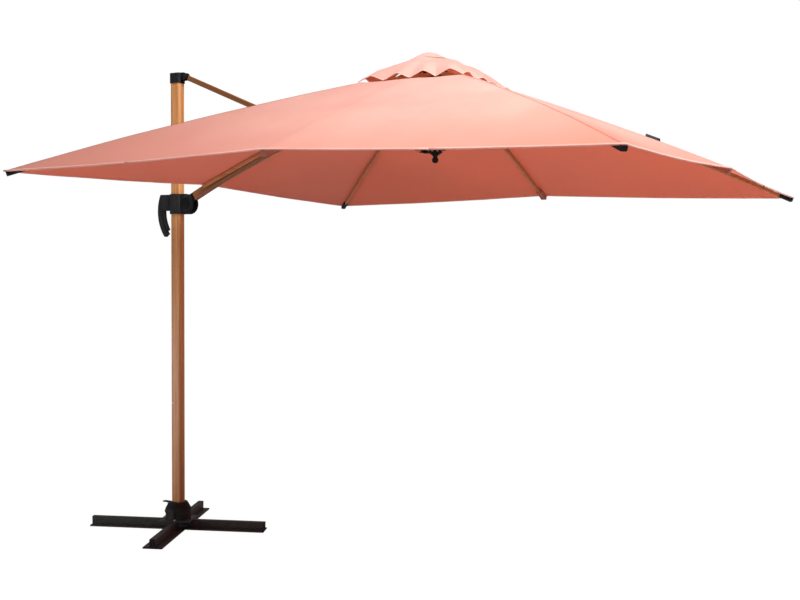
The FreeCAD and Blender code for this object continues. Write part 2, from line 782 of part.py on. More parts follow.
# ---------------------------------------------------------------- upper and lower hub
hub_place = Placement(Vector(DRIVING["hub_x"], 0, 0), Rotation())
pivot_z = d.hub_pivot_z
AZIMUTHS = [0, 45, 90, 135, 180, 225, 270, 315]
SPOKES = [a for a in AZIMUTHS if a != 180]


def spoke_slots(name, start, length, width, low, height):
    slots = []
    for azimuth in SPOKES:
        turn = Rotation(Z_AXIS, azimuth)
        corner = turn.multVec(Vector(start, -width / 2, low))
        slot = doc.addObject("Part::Box", f"{name}_{azimuth}")
        slot.Length, slot.Width, slot.Height = length, width, height
        slot.Placement = Placement(corner, turn)
        slots.append(slot)
    return slots


disc = post("hub_disc", (0, 0, pivot_z - 12), d.hub_radius, 24)
spine = middle_box("hub_spine", -100, pivot_z - 12, (70, 32, 36))
spine_round = across("spine_round", d.tip_pivot_x - d.hub_x, d.tip_pivot_z, 19, 32)
wing = middle_box("hub_wing", -d.rail_pivot_radius - 10, pivot_z - 10, (29, 101, 20))
tip_room = middle_box("tip_room", -140, pivot_z - 40, (64, 17, 90))
knuckle_slot = DRIVING["knuckle_width"] + 0.8
hub_slots = spoke_slots("hub_slot", 34, 40, knuckle_slot, DRIVING["hub_pivot_z"] - 20, 40)
wing_slot_size = (32, knuckle_slot, 40)
for side in (-1, 1):
    low_y = side * DRIVING["rail_spread"] - knuckle_slot / 2
    slot_place = (-d.rail_pivot_radius - 20, low_y, pivot_z - 20)
    hub_slots.append(box(f"wing_slot_{side}", slot_place, wing_slot_size))
hub_blank = fuse("hub_blank", disc, spine, spine_round, wing)
hub_cut = cut("hub_cut", hub_blank, tip_room, *hub_slots)
hub_pins = [across("tip_pin", d.tip_pivot_x - d.hub_x, d.tip_pivot_z, d.pin_radius, 32)]
rib_pin_length = 14
for azimuth in SPOKES:
    turn = Rotation(Z_AXIS, azimuth).multiply(ACROSS)
    pin_start = Vector(DRIVING["hub_pivot_radius"], -rib_pin_length / 2, DRIVING["hub_pivot_z"])
    spot = Rotation(Z_AXIS, azimuth).multVec(pin_start)
    pin = doc.addObject("Part::Cylinder", f"rib_pin_{azimuth}")
    pin.Radius, pin.Height = DRIVING["rib_pin_radius"], rib_pin_length
    pin.Placement = Placement(spot, turn)
    hub_pins.append(pin)
for side in (-1, 1):
    pin_place = (-d.rail_pivot_radius, side * DRIVING["rail_spread"] - rib_pin_length / 2, pivot_z)
    hub_pins.append(post(f"rail_pin_{side}", pin_place, d.rib_pin_radius, rib_pin_length, ACROSS))
node("upper_hub", moved(fuse("upper_hub_body", hub_cut, *hub_pins), hub_place))

runner_z = pivot_z - d.runner_drop
runner_body = new_body("runner")
runner_sketch = new_sketch(runner_body, "runner_section", "XZ_Plane")
outline(
    runner_sketch,
    [
        (0, runner_z - 60),
        (9, runner_z - 60),
        (d.runner_core, runner_z - 52),
        (d.runner_core, runner_z - 40),
        (10, runner_z - 32),
        (15, runner_z - 22),
        (d.runner_radius, runner_z - 8),
        (d.runner_radius, runner_z + 9),
        (d.runner_core + 2, runner_z + 16),
        (0, runner_z + 16),
    ],
)
runner_spin = runner_body.newObject("PartDesign::Revolution", "runner_spin")
runner_spin.Profile = runner_sketch
runner_spin.ReferenceAxis = (runner_sketch, ["V_Axis"])
runner_spin.Angle = 360
slot_start = DRIVING["runner_core"] + 1.0
runner_slots = spoke_slots("runner_slot", slot_start, 60, DRIVING["slot_width"], runner_z.value - 80, 120)
web_bar = middle_box("runner_web", -62, runner_z - 9, (50, 20, 18))
rail_side = d.rail_spread - d.stretcher_width / 2 - 0.4
t_bar = middle_box("runner_t_bar", -74, runner_z - 8, (16, rail_side * 2, 16))
runner_cut = cut("runner_cut", runner_body, *runner_slots)
node("lower_hub", moved(fuse("lower_hub_body", runner_cut, web_bar, t_bar), hub_place))

# ---------------------------------------------------------------- ribs and stretchers
closed_angle = math.radians(DRIVING["closed_rib_angle"])


class RibPlan:
    """A rib's curve, and where its stretcher joins it, in the rib's own upright plane."""

    def __init__(self, inner, reach_, tip_z, rise):
        self.inner = inner
        self.curve = Curve((inner, DRIVING["hub_pivot_z"]), (reach_, tip_z), rise)
        self.runner = inner - DRIVING["hub_pivot_radius"] + DRIVING["runner_pivot_radius"]
        open_drop, closed_drop = DRIVING["runner_drop"], DRIVING["runner_drop_closed"]
        chord = math.dist(self.curve.start, self.curve.end)
        self.open_angle = -self.curve.slope
        inset = self.inner - self.runner
        along = 540.0
        for _ in range(20):
            share = along / chord
            lean = math.atan2(DRIVING["clamp_drop"] - 4 * rise * share * (1 - share), along)
            first, last = self.open_angle + lean, closed_angle + lean
            level = 2 * inset * (math.cos(first) - math.cos(last))
            drop = 2 * (closed_drop * math.sin(last) - open_drop * math.sin(first))
            radius = (closed_drop ** 2 - open_drop ** 2) / (drop + level)
            along = radius * math.cos(lean)
        top = DRIVING["hub_pivot_z"]
        self.clamp = (self.inner + radius * math.cos(first), top - radius * math.sin(first))
        self.slide = (self.runner, top - open_drop)
        self.stretcher_length = math.dist(self.clamp, self.slide)
        self.stretcher_angle = math.atan2(self.clamp[1] - self.slide[1], self.clamp[0] - self.slide[0])
        spoke = [self.clamp[k] - self.curve.centre[k] for k in (0, 1)]
        tilt = math.atan2(-spoke[0], spoke[1])
        self.clamp_along = (self.curve.slope + self.curve.half - tilt) * self.curve.radius
        self.clamp_depth = self.curve.radius - math.hypot(*spoke)


rib_section = (d.rib_height, d.rib_width, 2.5)


def around(name, item, azimuth, offset=0):
    """Turn a piece made in the plane of azimuth zero about the hub's axis."""
    holder = doc.addObject("Part::Compound", name)
    holder.Links = [item]
    turn = Rotation(Z_AXIS, azimuth)
    spot = Vector(DRIVING["hub_x"], 0, 0) + turn.multVec(Vector(0, offset, 0))
    holder.Placement = Placement(spot, turn)
    return holder


def make_rib(name, plan):
    start = DRIVING["knuckle_length"]
    length = plan.curve.length - start - DRIVING["tip_cap_length"]
    return bent_tube(name, rib_section, d.rib_wall, plan.curve, start, length)


def make_fittings(name, plan, cap_width):
    """The knuckle at the hub, the clamp for the stretcher and the tip cap: three solids."""
    curve = plan.curve
    eye = across(name + "_eye", 0, 0, d.knuckle_radius, d.knuckle_width)
    neck_size = (d.knuckle_length - 0.5, d.knuckle_width, d.knuckle_radius * 2)
    neck = middle_box(name + "_neck", 0, -d.knuckle_radius, neck_size)
    plug = middle_box(name + "_plug", d.knuckle_length - 1, -8, (40, d.rib_width - 3.6, 16))
    hole = across(name + "_eye_hole", 0, 0, d.rib_pin_radius + d.running_play, d.knuckle_width + 2)
    knuckle = cut(name + "_knuckle", fuse(name + "_knuckle_raw", eye, neck, plug), hole)
    moved(knuckle, along_line(curve.start, curve.angle(20)))
    slope = curve.angle(plan.clamp_along)
    foot = curve.point(plan.clamp_along, -DRIVING["rib_height"] / 2 - 0.2)
    drop = plan.clamp_depth - DRIVING["rib_height"] / 2 - 0.2
    half = d.stretcher_width / 2 + 0.4
    ears = middle_box(name + "_ears", -9, -drop, (18, half * 2 + 6, drop))
    saddle_bed = middle_box(name + "_bed", -16, -2.5, (32, half * 2 + 6, 2.5))
    round_end = across(name + "_round", 0, -drop, 8, half * 2 + 6)
    room = middle_box(name + "_room", -30, -drop - 12, (60, half * 2, drop + 12 - 2.5))
    clamp_pin = across(name + "_clamp_pin", 0, -drop, d.rib_pin_radius, half * 2 + 6)
    clamp_cut = cut(name + "_clamp_cut", fuse(name + "_clamp_raw", ears, saddle_bed, round_end), room)
    clamp = fuse(name + "_clamp", clamp_cut, clamp_pin)
    moved(clamp, along_line(foot, slope))
    cap_start = curve.point(curve.length - DRIVING["tip_cap_length"] + 0.5)
    cap_height = d.tip_cap_height
    cap = rounded_block(name + "_cap", cap_height, cap_width, 5, d.tip_cap_length, (0, 0, 0))
    level = Rotation(Y_AXIS, 90 - math.degrees(curve.angle(curve.length - 40)))
    moved(cap, Placement(Vector(cap_start[0], 0, cap_start[1]), level))
    return group(name, knuckle, clamp, cap)


def make_stretcher(name, plan):
    """A flat bar from the clamp's pin to the runner's slot."""
    length = plan.stretcher_length
    half_height = d.stretcher_height / 2
    bar = middle_box(name + "_bar", 0, -half_height, (length, d.stretcher_width, d.stretcher_height))
    inner_end = across(name + "_inner", 0, 0, half_height, d.stretcher_width)
    outer_end = across(name + "_outer", length, 0, half_height, d.stretcher_width)
    hole = across(name + "_hole", length, 0, d.rib_pin_radius + d.running_play, d.stretcher_width + 2)
    body = cut(name + "_body", fuse(name + "_raw", bar, inner_end, outer_end), hole)
    return moved(body, along_line(plan.slide, plan.stretcher_angle))


def plan_for(azimuth):
    inner = DRIVING["rail_pivot_radius"] if azimuth == 180 else DRIVING["hub_pivot_radius"]
    kind = "corner" if azimuth % 90 else "mid"
    return RibPlan(inner, DRIVING[kind + "_reach"], DRIVING[kind + "_tip_z"], DRIVING[kind + "_rise"])


for number, azimuth in enumerate(AZIMUTHS, start=1):
    plan = plan_for(azimuth)
    offsets = (-DRIVING["rail_spread"], DRIVING["rail_spread"]) if azimuth == 180 else (0,)
    cap_width = 14 if azimuth == 180 else d.tip_cap_width
    made = {"rib": [], "rib_fittings": [], "stretcher": []}
    for side, offset in enumerate(offsets):
        tag = f"{number}_{side}"
        rib = make_rib(f"rib_bar_{tag}", plan)
        made["rib"].append(around(f"rib_{tag}_set", rib, azimuth, offset))
        fitting = make_fittings(f"fitting_{tag}", plan, cap_width)
        made["rib_fittings"].append(around(f"fitting_{tag}_set", fitting, azimuth, offset))
        stretcher = make_stretcher(f"stretcher_bar_{tag}", plan)
        made["stretcher"].append(around(f"stretcher_{tag}_set", stretcher, azimuth, offset))
    for kind, items in made.items():
        item = items[0] if len(items) == 1 else group(f"{kind}_{number}_pair", *items)
        node(f"{kind}_{number}", item)

# ---------------------------------------------------------------- canopy
doc.recompute()
lift = DRIVING["fabric_height"]


def fabric_height_at(azimuth, reach_):
    """The height of the fabric's underside over a rib at a distance from the hub's axis."""
    curve = plan_for(azimuth).curve
    down = math.sqrt((curve.radius + lift) ** 2 - (reach_ - curve.centre[0]) ** 2)
    return curve.centre[1] + down


def rib_line(azimuth, sides, heights=None):
    """Three points over a rib, at the given half sides of the square."""
    corner = bool(azimuth % 90)
    angle = math.radians(azimuth)
    points = []
    for k, side in enumerate(sides):
        reach_ = side * (math.sqrt(2) if corner else 1)
        height = heights[k] if heights else fabric_height_at(azimuth % 360, reach_)
        points.append(Vector(reach_ * math.cos(angle), reach_ * math.sin(angle), height))
    return points


def panel(points, other):
    """One cloth panel between two curved lines, with the cloth's thickness upwards."""
    edges = [Part.Arc(*line).toShape() for line in (points, other)]
    face = Part.makeRuledSurface(*edges)
    return face.extrude(Vector(0, 0, DRIVING["fabric_thickness"]))


main_sides = [
    DRIVING["vent_half_side"],
    (DRIVING["vent_half_side"] + DRIVING["fabric_half_side"]) / 2,
    DRIVING["fabric_half_side"],
]
crown_sides = [6, DRIVING["crown_shoulder_side"], DRIVING["crown_half_side"]]
crown_heights = [DRIVING["crown_top"], DRIVING["crown_shoulder_top"], DRIVING["crown_edge_z"]]


def seam(azimuth, sides, heights, towards, gap):
    """The line midway between two neighbouring ribs, moved back a little."""
    first = rib_line(azimuth, sides, heights)
    second = rib_line(azimuth + towards, sides, heights)
    angle = math.radians(azimuth + towards / 2)
    aside = Vector(math.sin(angle), -math.cos(angle), 0) * gap * (1 if towards > 0 else -1)
    return [(a + b) * 0.5 + aside for a, b in zip(first, second)]


# over the rails the crown is opened further, so that it clears the arm's tip
OPEN_SIDES, OPEN_HEIGHTS = (70, 160), (2590, 2557)
for number, azimuth in enumerate(AZIMUTHS, start=1):
    solids = []
    for sides, heights in ((main_sides, None), (crown_sides, crown_heights)):
        for towards in (-45, 45):
            line = rib_line(azimuth, sides, heights)
            if azimuth == 180:
                across_slit = DRIVING["slit_half_width"] * (-1 if towards > 0 else 1)
                line = [Vector(min(p.x, -70), across_slit, p.z) for p in line]
            between = seam(azimuth, sides, heights, towards, DRIVING["seam_gap"])
            if azimuth == 180 and sides is crown_sides:
                opened = [*OPEN_SIDES, sides[2]], [*OPEN_HEIGHTS, heights[2]]
                between = seam(azimuth, *opened, towards, DRIVING["seam_gap"])
                line[1].x, line[1].z = -OPEN_SIDES[1], OPEN_HEIGHTS[1]
                line[0].z = OPEN_HEIGHTS[0]
            solids.append(panel(line, between))
    gore = doc.addObject("Part::Feature", f"gore_{number}")
    gore.Shape = Part.makeCompound(solids)
    gore.Placement = Placement(Vector(DRIVING["hub_x"], 0, 0), Rotation())
    node(f"canopy_gore_{number}", gore)

# ---------------------------------------------------------------- write
doc.recompute()
failed = [o.Name for o in doc.Objects if "Invalid" in o.State or "Error" in o.State]
if failed:
    raise RuntimeError(f"failed objects: {failed}")
for name, item in parts.items():
    shape = item.Shape
    if shape.isNull() or not shape.isValid() or not shape.Solids:
        raise RuntimeError(f"{name} has no valid solid")
    shape.exportStep(os.path.join("parts", name + ".step"))
    print(f"{name}: {len(shape.Solids)} solids, {shape.Volume / 1000:.1f} cm3")
print(len(parts), "sub-parts")
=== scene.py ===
# %% [markdown]
# # Cantilever parasol
# A parasol of this kind hangs its canopy from an arm beside the mast, so that nothing stands
# under the cloth.  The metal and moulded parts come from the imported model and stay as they
# are.  This script adds what a sewing room and a paint shop would: the canopy, the small trim
# and the finishes.  Everything is in metres with Z up, and the origin is on the mast's axis at
# floor level, so a place read from the model can be used without fitting.

import json
import math

import bmesh
import bpy
from mathutils import Matrix, Vector, noise

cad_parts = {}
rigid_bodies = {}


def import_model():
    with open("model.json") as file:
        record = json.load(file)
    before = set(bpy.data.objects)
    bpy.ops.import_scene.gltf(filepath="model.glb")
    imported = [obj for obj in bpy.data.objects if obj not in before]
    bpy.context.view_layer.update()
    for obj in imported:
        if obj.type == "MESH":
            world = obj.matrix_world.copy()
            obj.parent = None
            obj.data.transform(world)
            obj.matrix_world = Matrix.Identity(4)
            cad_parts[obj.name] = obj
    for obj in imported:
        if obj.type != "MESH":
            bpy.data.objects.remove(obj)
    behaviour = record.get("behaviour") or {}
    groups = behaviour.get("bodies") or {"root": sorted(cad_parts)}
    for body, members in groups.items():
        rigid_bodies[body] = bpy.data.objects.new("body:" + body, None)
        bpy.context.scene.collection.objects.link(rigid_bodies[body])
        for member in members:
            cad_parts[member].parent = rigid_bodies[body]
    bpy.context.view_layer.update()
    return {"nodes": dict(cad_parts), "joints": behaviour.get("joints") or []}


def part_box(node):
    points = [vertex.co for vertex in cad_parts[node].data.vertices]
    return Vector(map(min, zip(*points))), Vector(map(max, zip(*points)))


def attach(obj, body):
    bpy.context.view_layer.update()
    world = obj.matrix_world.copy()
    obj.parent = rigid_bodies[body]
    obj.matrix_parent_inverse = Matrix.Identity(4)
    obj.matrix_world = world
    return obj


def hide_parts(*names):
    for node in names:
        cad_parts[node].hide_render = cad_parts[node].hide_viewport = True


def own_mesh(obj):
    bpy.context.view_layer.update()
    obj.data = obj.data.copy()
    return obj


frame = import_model()

# %% [markdown]
# ## Places
# Cloth is cut to fit its frame, so its measures start from the frame's own.  They could be
# typed in as numbers, but reading the pivots from the joints keeps the cloth on its ribs if
# the frame changes.  The other values describe the canopy itself: how far the middle and the
# corner ribs reach, how much they arch, and the half sides of its squares.

# %% Pivots and canopy sizes
JOINTS = {joint["name"]: joint for joint in frame["joints"]}
HUB_X = JOINTS["rib_3_fold"]["pos_m"][0]
PIVOT_Z = JOINTS["rib_1_fold"]["pos_m"][2]
PIVOT_RADIUS = JOINTS["rib_1_fold"]["pos_m"][0] - HUB_X
RAIL_RADIUS = HUB_X - JOINTS["rib_5_fold"]["pos_m"][0]
MID_REACH, MID_TIP_Z, MID_RISE = 1.450, 1.995, 0.014
CORNER_REACH, CORNER_TIP_Z, CORNER_RISE = 2.050, 1.955, 0.028
CLOTH_LIFT = 0.0158
VENT_SIDE, EDGE_SIDE, CROWN_SIDE = 0.273, 1.460, 0.285
SLIT_HALF = 0.0265
GORES = range(1, 9)
RAIL_GORE, RAIL_OFFSET = 5, 0.04
CLOSE_TO_SEAM = 1e-4
print("hub", round(HUB_X, 3), round(PIVOT_Z, 3))


def azimuth_of(gore):
    """The direction of a gore's rib, seen from above.  Gore 1 points away from the mast."""
    return math.radians(45 * (gore - 1))


def parts_of(gore):
    """A gore's tag, its first and last place across, and its rib's offset from the middle.

    The gore on the mast's side is in two parts, one over each rail of its pair."""
    if gore == RAIL_GORE:
        return (
            (f"{gore}_left", -1.0, -CLOSE_TO_SEAM, RAIL_OFFSET),
            (f"{gore}_right", CLOSE_TO_SEAM, 1.0, -RAIL_OFFSET),
        )
    return ((f"{gore}", -1.0, 1.0, 0.0),)

# %% [markdown]
# ## Camera
# The view is that of a person who stands on the open side, a little below the canopy's edge.
# A camera could be aimed with a constraint, but here its three axes are worked out from yaw,
# pitch and roll, because a matrix is plain to read and nothing is left live in the scene.

# %% Camera
CAMERA_PLACE = Vector((4.317, -5.080, 1.557))
CAMERA_YAW, CAMERA_PITCH, CAMERA_ROLL = 120.356, -5.519, 0.833
CAMERA_SHIFT = (0.0305, 0.0946)
CAMERA_LENS, SENSOR_WIDTH = 50.63, 36

yaw, pitch, roll = (math.radians(a) for a in (CAMERA_YAW, CAMERA_PITCH, CAMERA_ROLL))
forward = Vector(
    (math.cos(yaw) * math.cos(pitch), math.sin(yaw) * math.cos(pitch), math.sin(pitch))
)
level_right = Vector((math.sin(yaw), -math.cos(yaw), 0))
level_up = level_right.cross(forward)
right = level_right * math.cos(roll) + level_up * math.sin(roll)
up = level_up * math.cos(roll) - level_right * math.sin(roll)
lens = bpy.data.cameras.new("view")
lens.sensor_width = SENSOR_WIDTH
lens.lens = CAMERA_LENS
lens.shift_x, lens.shift_y = CAMERA_SHIFT
camera = bpy.data.objects.new("view", lens)
camera.matrix_world = Matrix((right, up, -forward)).transposed().to_4x4()
camera.location = CAMERA_PLACE
bpy.context.collection.objects.link(camera)
bpy.context.scene.camera = camera
print("camera at", list(CAMERA_PLACE))

# %% [markdown]
# ## Light and floor
# Outdoors a canopy is lit from above by the sun and from below by what the ground throws
# back.  One large soft lamp over the open side stands for the sun: being near, it lights the
# middle of the canopy more than the far corner.  A small lamp near the floor brings out the
# mast's edge.  A Sun lamp would light every corner alike, so two area lamps are used.

# %% Lamps
LAMPS = {
    "high_lamp": {"place": (4.1, -1.9, 5.6), "target": (1.9, -0.2, 2.3), "size": 2.2, "power": 480},
    "low_lamp": {"place": (-2.0, -3.0, 0.4), "target": (0.1, 0.0, 0.7), "size": 1.4, "power": 42},
}

scene = bpy.context.scene
scene.view_settings.view_transform = "Standard"
for name, plan in LAMPS.items():
    lamp_data = bpy.data.lights.new(name, "AREA")
    lamp_data.size, lamp_data.energy = plan["size"], plan["power"]
    lamp = bpy.data.objects.new(name, lamp_data)
    lamp.location = plan["place"]
    away = Vector(plan["place"]) - Vector(plan["target"])
    lamp.rotation_euler = away.to_track_quat("Z", "Y").to_euler()
    bpy.context.collection.objects.link(lamp)
print("lamps", list(LAMPS))

# %% [markdown]
# ### Sky
# A white backdrop would also be the strongest lamp in the scene, so the sky is split with a
# Light Path node: the camera sees plain white, and the object gets a much dimmer light that
# is a little brighter from above than from below.

# %% Sky
def add_node(tree, kind, **settings):
    """A shader node with its settings and input values in one call."""
    made = tree.nodes.new(kind)
    for key, value in settings.items():
        if hasattr(made, key):
            setattr(made, key, value)
        else:
            made.inputs[key.replace("_", " ")].default_value = value
    return made


SKY_BELOW, SKY_ABOVE = 0.2, 0.24
world = bpy.data.worlds.new("sky")
scene.world = world
world.use_nodes = True
sky = world.node_tree
sky.nodes.clear()
sky_out = add_node(sky, "ShaderNodeOutputWorld")
sky_mix = add_node(sky, "ShaderNodeMixShader")
sky_white = add_node(sky, "ShaderNodeBackground", Color=(1, 1, 1, 1), Strength=1.0)
sky_light = add_node(sky, "ShaderNodeBackground")
sky_path = add_node(sky, "ShaderNodeLightPath")
sky_place = add_node(sky, "ShaderNodeTexCoord")
sky_split = add_node(sky, "ShaderNodeSeparateXYZ")
sky_ramp = add_node(
    sky, "ShaderNodeMapRange", From_Min=-0.5, From_Max=0.6, To_Min=SKY_BELOW, To_Max=SKY_ABOVE
)
for source, target in (
    (sky_place.outputs["Generated"], sky_split.inputs[0]),
    (sky_split.outputs["Z"], sky_ramp.inputs["Value"]),
    (sky_ramp.outputs[0], sky_light.inputs["Strength"]),
    (sky_path.outputs["Is Camera Ray"], sky_mix.inputs[0]),
    (sky_light.outputs[0], sky_mix.inputs[1]),
    (sky_white.outputs[0], sky_mix.inputs[2]),
    (sky_mix.outputs[0], sky_out.inputs[0]),
):
    sky.links.new(source, target)
print("sky", SKY_BELOW, "to", SKY_ABOVE)

# %% [markdown]
# ### Floor
# A pale floor carries a faint shadow and throws light up under the cloth.  A plain diffuse
# disc would turn grey towards the horizon, so for the camera most of it is an even glow and
# only a small share is matt paint.  Its underside is clear, so that the canopy can be looked
# at from below.

# %% Floor
FLOOR_RADIUS, FLOOR_SIDES, FLOOR_DROP = 30, 96, 0.001
FLOOR_SHADE, FLOOR_GLOW = 0.05, 1.045


def make_floor():
    """A white floor that hardly takes a shadow, and that is clear from below."""
    disc = bmesh.new()
    bmesh.ops.create_circle(disc, cap_ends=True, segments=FLOOR_SIDES, radius=FLOOR_RADIUS)
    mesh = bpy.data.meshes.new("floor")
    disc.to_mesh(mesh)
    disc.free()
    floor = bpy.data.objects.new("floor", mesh)
    floor.location.z = -FLOOR_DROP
    bpy.context.collection.objects.link(floor)
    material = bpy.data.materials.new("floor_paint")
    material.use_nodes = True
    tree = material.node_tree
    tree.nodes.clear()
    output = add_node(tree, "ShaderNodeOutputMaterial")
    matt = add_node(tree, "ShaderNodeBsdfDiffuse", Color=(0.9, 0.89, 0.88, 1))
    bright = add_node(tree, "ShaderNodeEmission", Color=(1, 1, 1, 1), Strength=FLOOR_GLOW)
    clear = add_node(tree, "ShaderNodeBsdfTransparent")
    seen = add_node(tree, "ShaderNodeMixShader", Fac=1 - FLOOR_SHADE)
    for_camera = add_node(tree, "ShaderNodeMixShader")
    sides = add_node(tree, "ShaderNodeMixShader")
    path = add_node(tree, "ShaderNodeLightPath")
    geometry = add_node(tree, "ShaderNodeNewGeometry")
    for source, target in (
        (matt.outputs[0], seen.inputs[1]),
        (bright.outputs[0], seen.inputs[2]),
        (path.outputs["Is Camera Ray"], for_camera.inputs[0]),
        (matt.outputs[0], for_camera.inputs[1]),
        (seen.outputs[0], for_camera.inputs[2]),
        (geometry.outputs["Backfacing"], sides.inputs[0]),
        (for_camera.outputs[0], sides.inputs[1]),
        (clear.outputs[0], sides.inputs[2]),
        (sides.outputs[0], output.inputs[0]),
    ):
        tree.links.new(source, target)
    mesh.materials.append(material)


make_floor()
print("floor, radius", FLOOR_RADIUS)

# %% [markdown]
# ## Shader groups
# Woven cloth, printed wood film and moulded skin each turn up in several materials.  The nodes
# could be copied into every material, but a group is built once and then placed with its own
# values.  The groups put out only masks and heights: the shader itself, and what depends on
# the view, stays in each material.

# %% Helpers for shader trees
def new_group(name, inputs, outputs):
    """A shader group with float inputs (name: default) after a Vector, and float outputs."""
    group = bpy.data.node_groups.new(name, "ShaderNodeTree")
    group.interface.new_socket("Vector", in_out="INPUT", socket_type="NodeSocketVector")
    for key, value in inputs.items():
        socket = group.interface.new_socket(key, in_out="INPUT", socket_type="NodeSocketFloat")
        socket.default_value = value
    for key in outputs:
        group.interface.new_socket(key, in_out="OUTPUT", socket_type="NodeSocketFloat")
    ends = group.nodes.new("NodeGroupInput"), group.nodes.new("NodeGroupOutput")
    return group, *ends


def math_node(tree, operation, first, second=None):
    made = add_node(tree, "ShaderNodeMath", operation=operation)
    for socket, value in zip(made.inputs, (first, second)):
        if value is None:
            continue
        if isinstance(value, (int, float)):
            socket.default_value = value
        else:
            tree.links.new(value, socket)
    return made.outputs[0]


def noise_node(tree, vector, scale, detail=4.0, roughness=0.55):
    made = add_node(tree, "ShaderNodeTexNoise", Scale=scale, Detail=detail, Roughness=roughness)
    tree.links.new(vector, made.inputs["Vector"])
    return made.outputs["Fac"]


def stretched(tree, vector, scale):
    made = add_node(tree, "ShaderNodeMapping")
    made.inputs["Scale"].default_value = scale
    tree.links.new(vector, made.inputs["Vector"])
    return made.outputs[0]

# %% [markdown]
# ### Weave
# Polyester canopy cloth is a plain weave, with one yarn over and one under in both
# directions.  Two sine waves at right angles give that pattern without a picture, and long
# thin noise along each direction picks out single yarns that took the dye differently.

# %% Weave
def weave_group():
    """Crossed yarns: Height for the bump, Yarn for single darker yarns, Cloud for uneven dye."""
    group, ends, out = new_group("weave", {"Yarns": 900.0}, ("Height", "Yarn", "Cloud"))
    split = add_node(group, "ShaderNodeSeparateXYZ")
    group.links.new(ends.outputs["Vector"], split.inputs[0])
    waves = []
    for axis in ("X", "Y"):
        turns = math_node(group, "MULTIPLY", split.outputs[axis], ends.outputs["Yarns"])
        waves.append(math_node(group, "SINE", math_node(group, "MULTIPLY", turns, 2 * math.pi)))
    group.links.new(math_node(group, "MULTIPLY", *waves), out.inputs["Height"])
    warp = noise_node(group, stretched(group, ends.outputs["Vector"], (260, 3, 3)), 1.0)
    weft = noise_node(group, stretched(group, ends.outputs["Vector"], (3, 260, 3)), 1.0)
    group.links.new(math_node(group, "MULTIPLY", warp, weft), out.inputs["Yarn"])
    group.links.new(noise_node(group, ends.outputs["Vector"], 2.2, 6.0), out.inputs["Cloud"])
    return group


WEAVE = weave_group()
print("group", WEAVE.name)

# %% [markdown]
# ### Wood film
# The tubes are aluminium under a printed film.  Real grain would follow the rings of a log,
# but a print only runs lengthwise, so noise that is stretched along one axis is enough: a
# broad figure, a finer one, and short dark pores.

# %% Film grain
def grain_group():
    """Film printed along local Z: Streak is the broad figure, Pore the fine lines."""
    group, ends, out = new_group("film_grain", {}, ("Streak", "Pore", "Height"))
    broad = noise_node(group, stretched(group, ends.outputs["Vector"], (38, 38, 1.1)), 1.0, 5.0)
    figure = noise_node(group, stretched(group, ends.outputs["Vector"], (120, 120, 2.4)), 1.0, 3.0)
    fine = noise_node(group, stretched(group, ends.outputs["Vector"], (420, 420, 7)), 1.0, 2.0)
    broad_share = math_node(group, "MULTIPLY", broad, 0.6)
    streak = math_node(group, "ADD", broad_share, math_node(group, "MULTIPLY", figure, 0.4))
    group.links.new(streak, out.inputs["Streak"])
    group.links.new(math_node(group, "GREATER_THAN", fine, 0.62), out.inputs["Pore"])
    group.links.new(fine, out.inputs["Height"])
    return group


GRAIN = grain_group()
print("group", GRAIN.name)

# %% [markdown]
# ### Moulded and sprayed skin
# Moulded plastic and powder coat share an orange peel, edges that get rubbed, and dust that
# settles on what faces up.  Edges could be marked by hand, but the Geometry node's Pointiness
# finds them on any mesh, and the normal's Z tells what faces up.

# %% Skin
def skin_group():
    """A moulded or sprayed skin: Height for its orange peel, Wear and Dust as masks."""
    group, ends, out = new_group("skin", {"Grain": 700.0}, ("Height", "Wear", "Dust"))
    peel = add_node(group, "ShaderNodeTexNoise", Detail=3.0)
    group.links.new(ends.outputs["Vector"], peel.inputs["Vector"])
    group.links.new(ends.outputs["Grain"], peel.inputs["Scale"])
    group.links.new(peel.outputs["Fac"], out.inputs["Height"])
    geometry = add_node(group, "ShaderNodeNewGeometry")
    edge = math_node(group, "SUBTRACT", geometry.outputs["Pointiness"], 0.52)
    rub = noise_node(group, ends.outputs["Vector"], 60.0)
    worn = math_node(group, "MULTIPLY", math_node(group, "MULTIPLY", edge, 9.0), rub)
    group.links.new(math_node(group, "MAXIMUM", worn, 0.0), out.inputs["Wear"])
    split = add_node(group, "ShaderNodeSeparateXYZ")
    group.links.new(geometry.outputs["Normal"], split.inputs[0])
    facing_up = math_node(group, "MAXIMUM", split.outputs["Z"], 0.0)
    cloud = noise_node(group, ends.outputs["Vector"], 14.0)
    group.links.new(math_node(group, "MULTIPLY", facing_up, cloud), out.inputs["Dust"])
    return group


SKIN = skin_group()
print("group", SKIN.name)

# %% [markdown]
# ## Materials
# Every material starts from a Principled shader and Object coordinates.  Those stay with the
# piece when it moves, and the whole object has one origin, so a pattern keeps its size from
# piece to piece.

# %% Helpers for materials
def new_material(name):
    """An empty material: itself, its tree, its shader, its output and Object coordinates."""
    material = bpy.data.materials.new(name)
    material.use_nodes = True
    tree = material.node_tree
    tree.nodes.clear()
    shader = add_node(tree, "ShaderNodeBsdfPrincipled")
    output = add_node(tree, "ShaderNodeOutputMaterial")
    tree.links.new(shader.outputs[0], output.inputs[0])
    place = add_node(tree, "ShaderNodeTexCoord")
    return material, tree, shader, output, place.outputs["Object"]


def use_group(tree, group, vector):
    made = add_node(tree, "ShaderNodeGroup")
    made.node_tree = group
    tree.links.new(vector, made.inputs["Vector"])
    return made


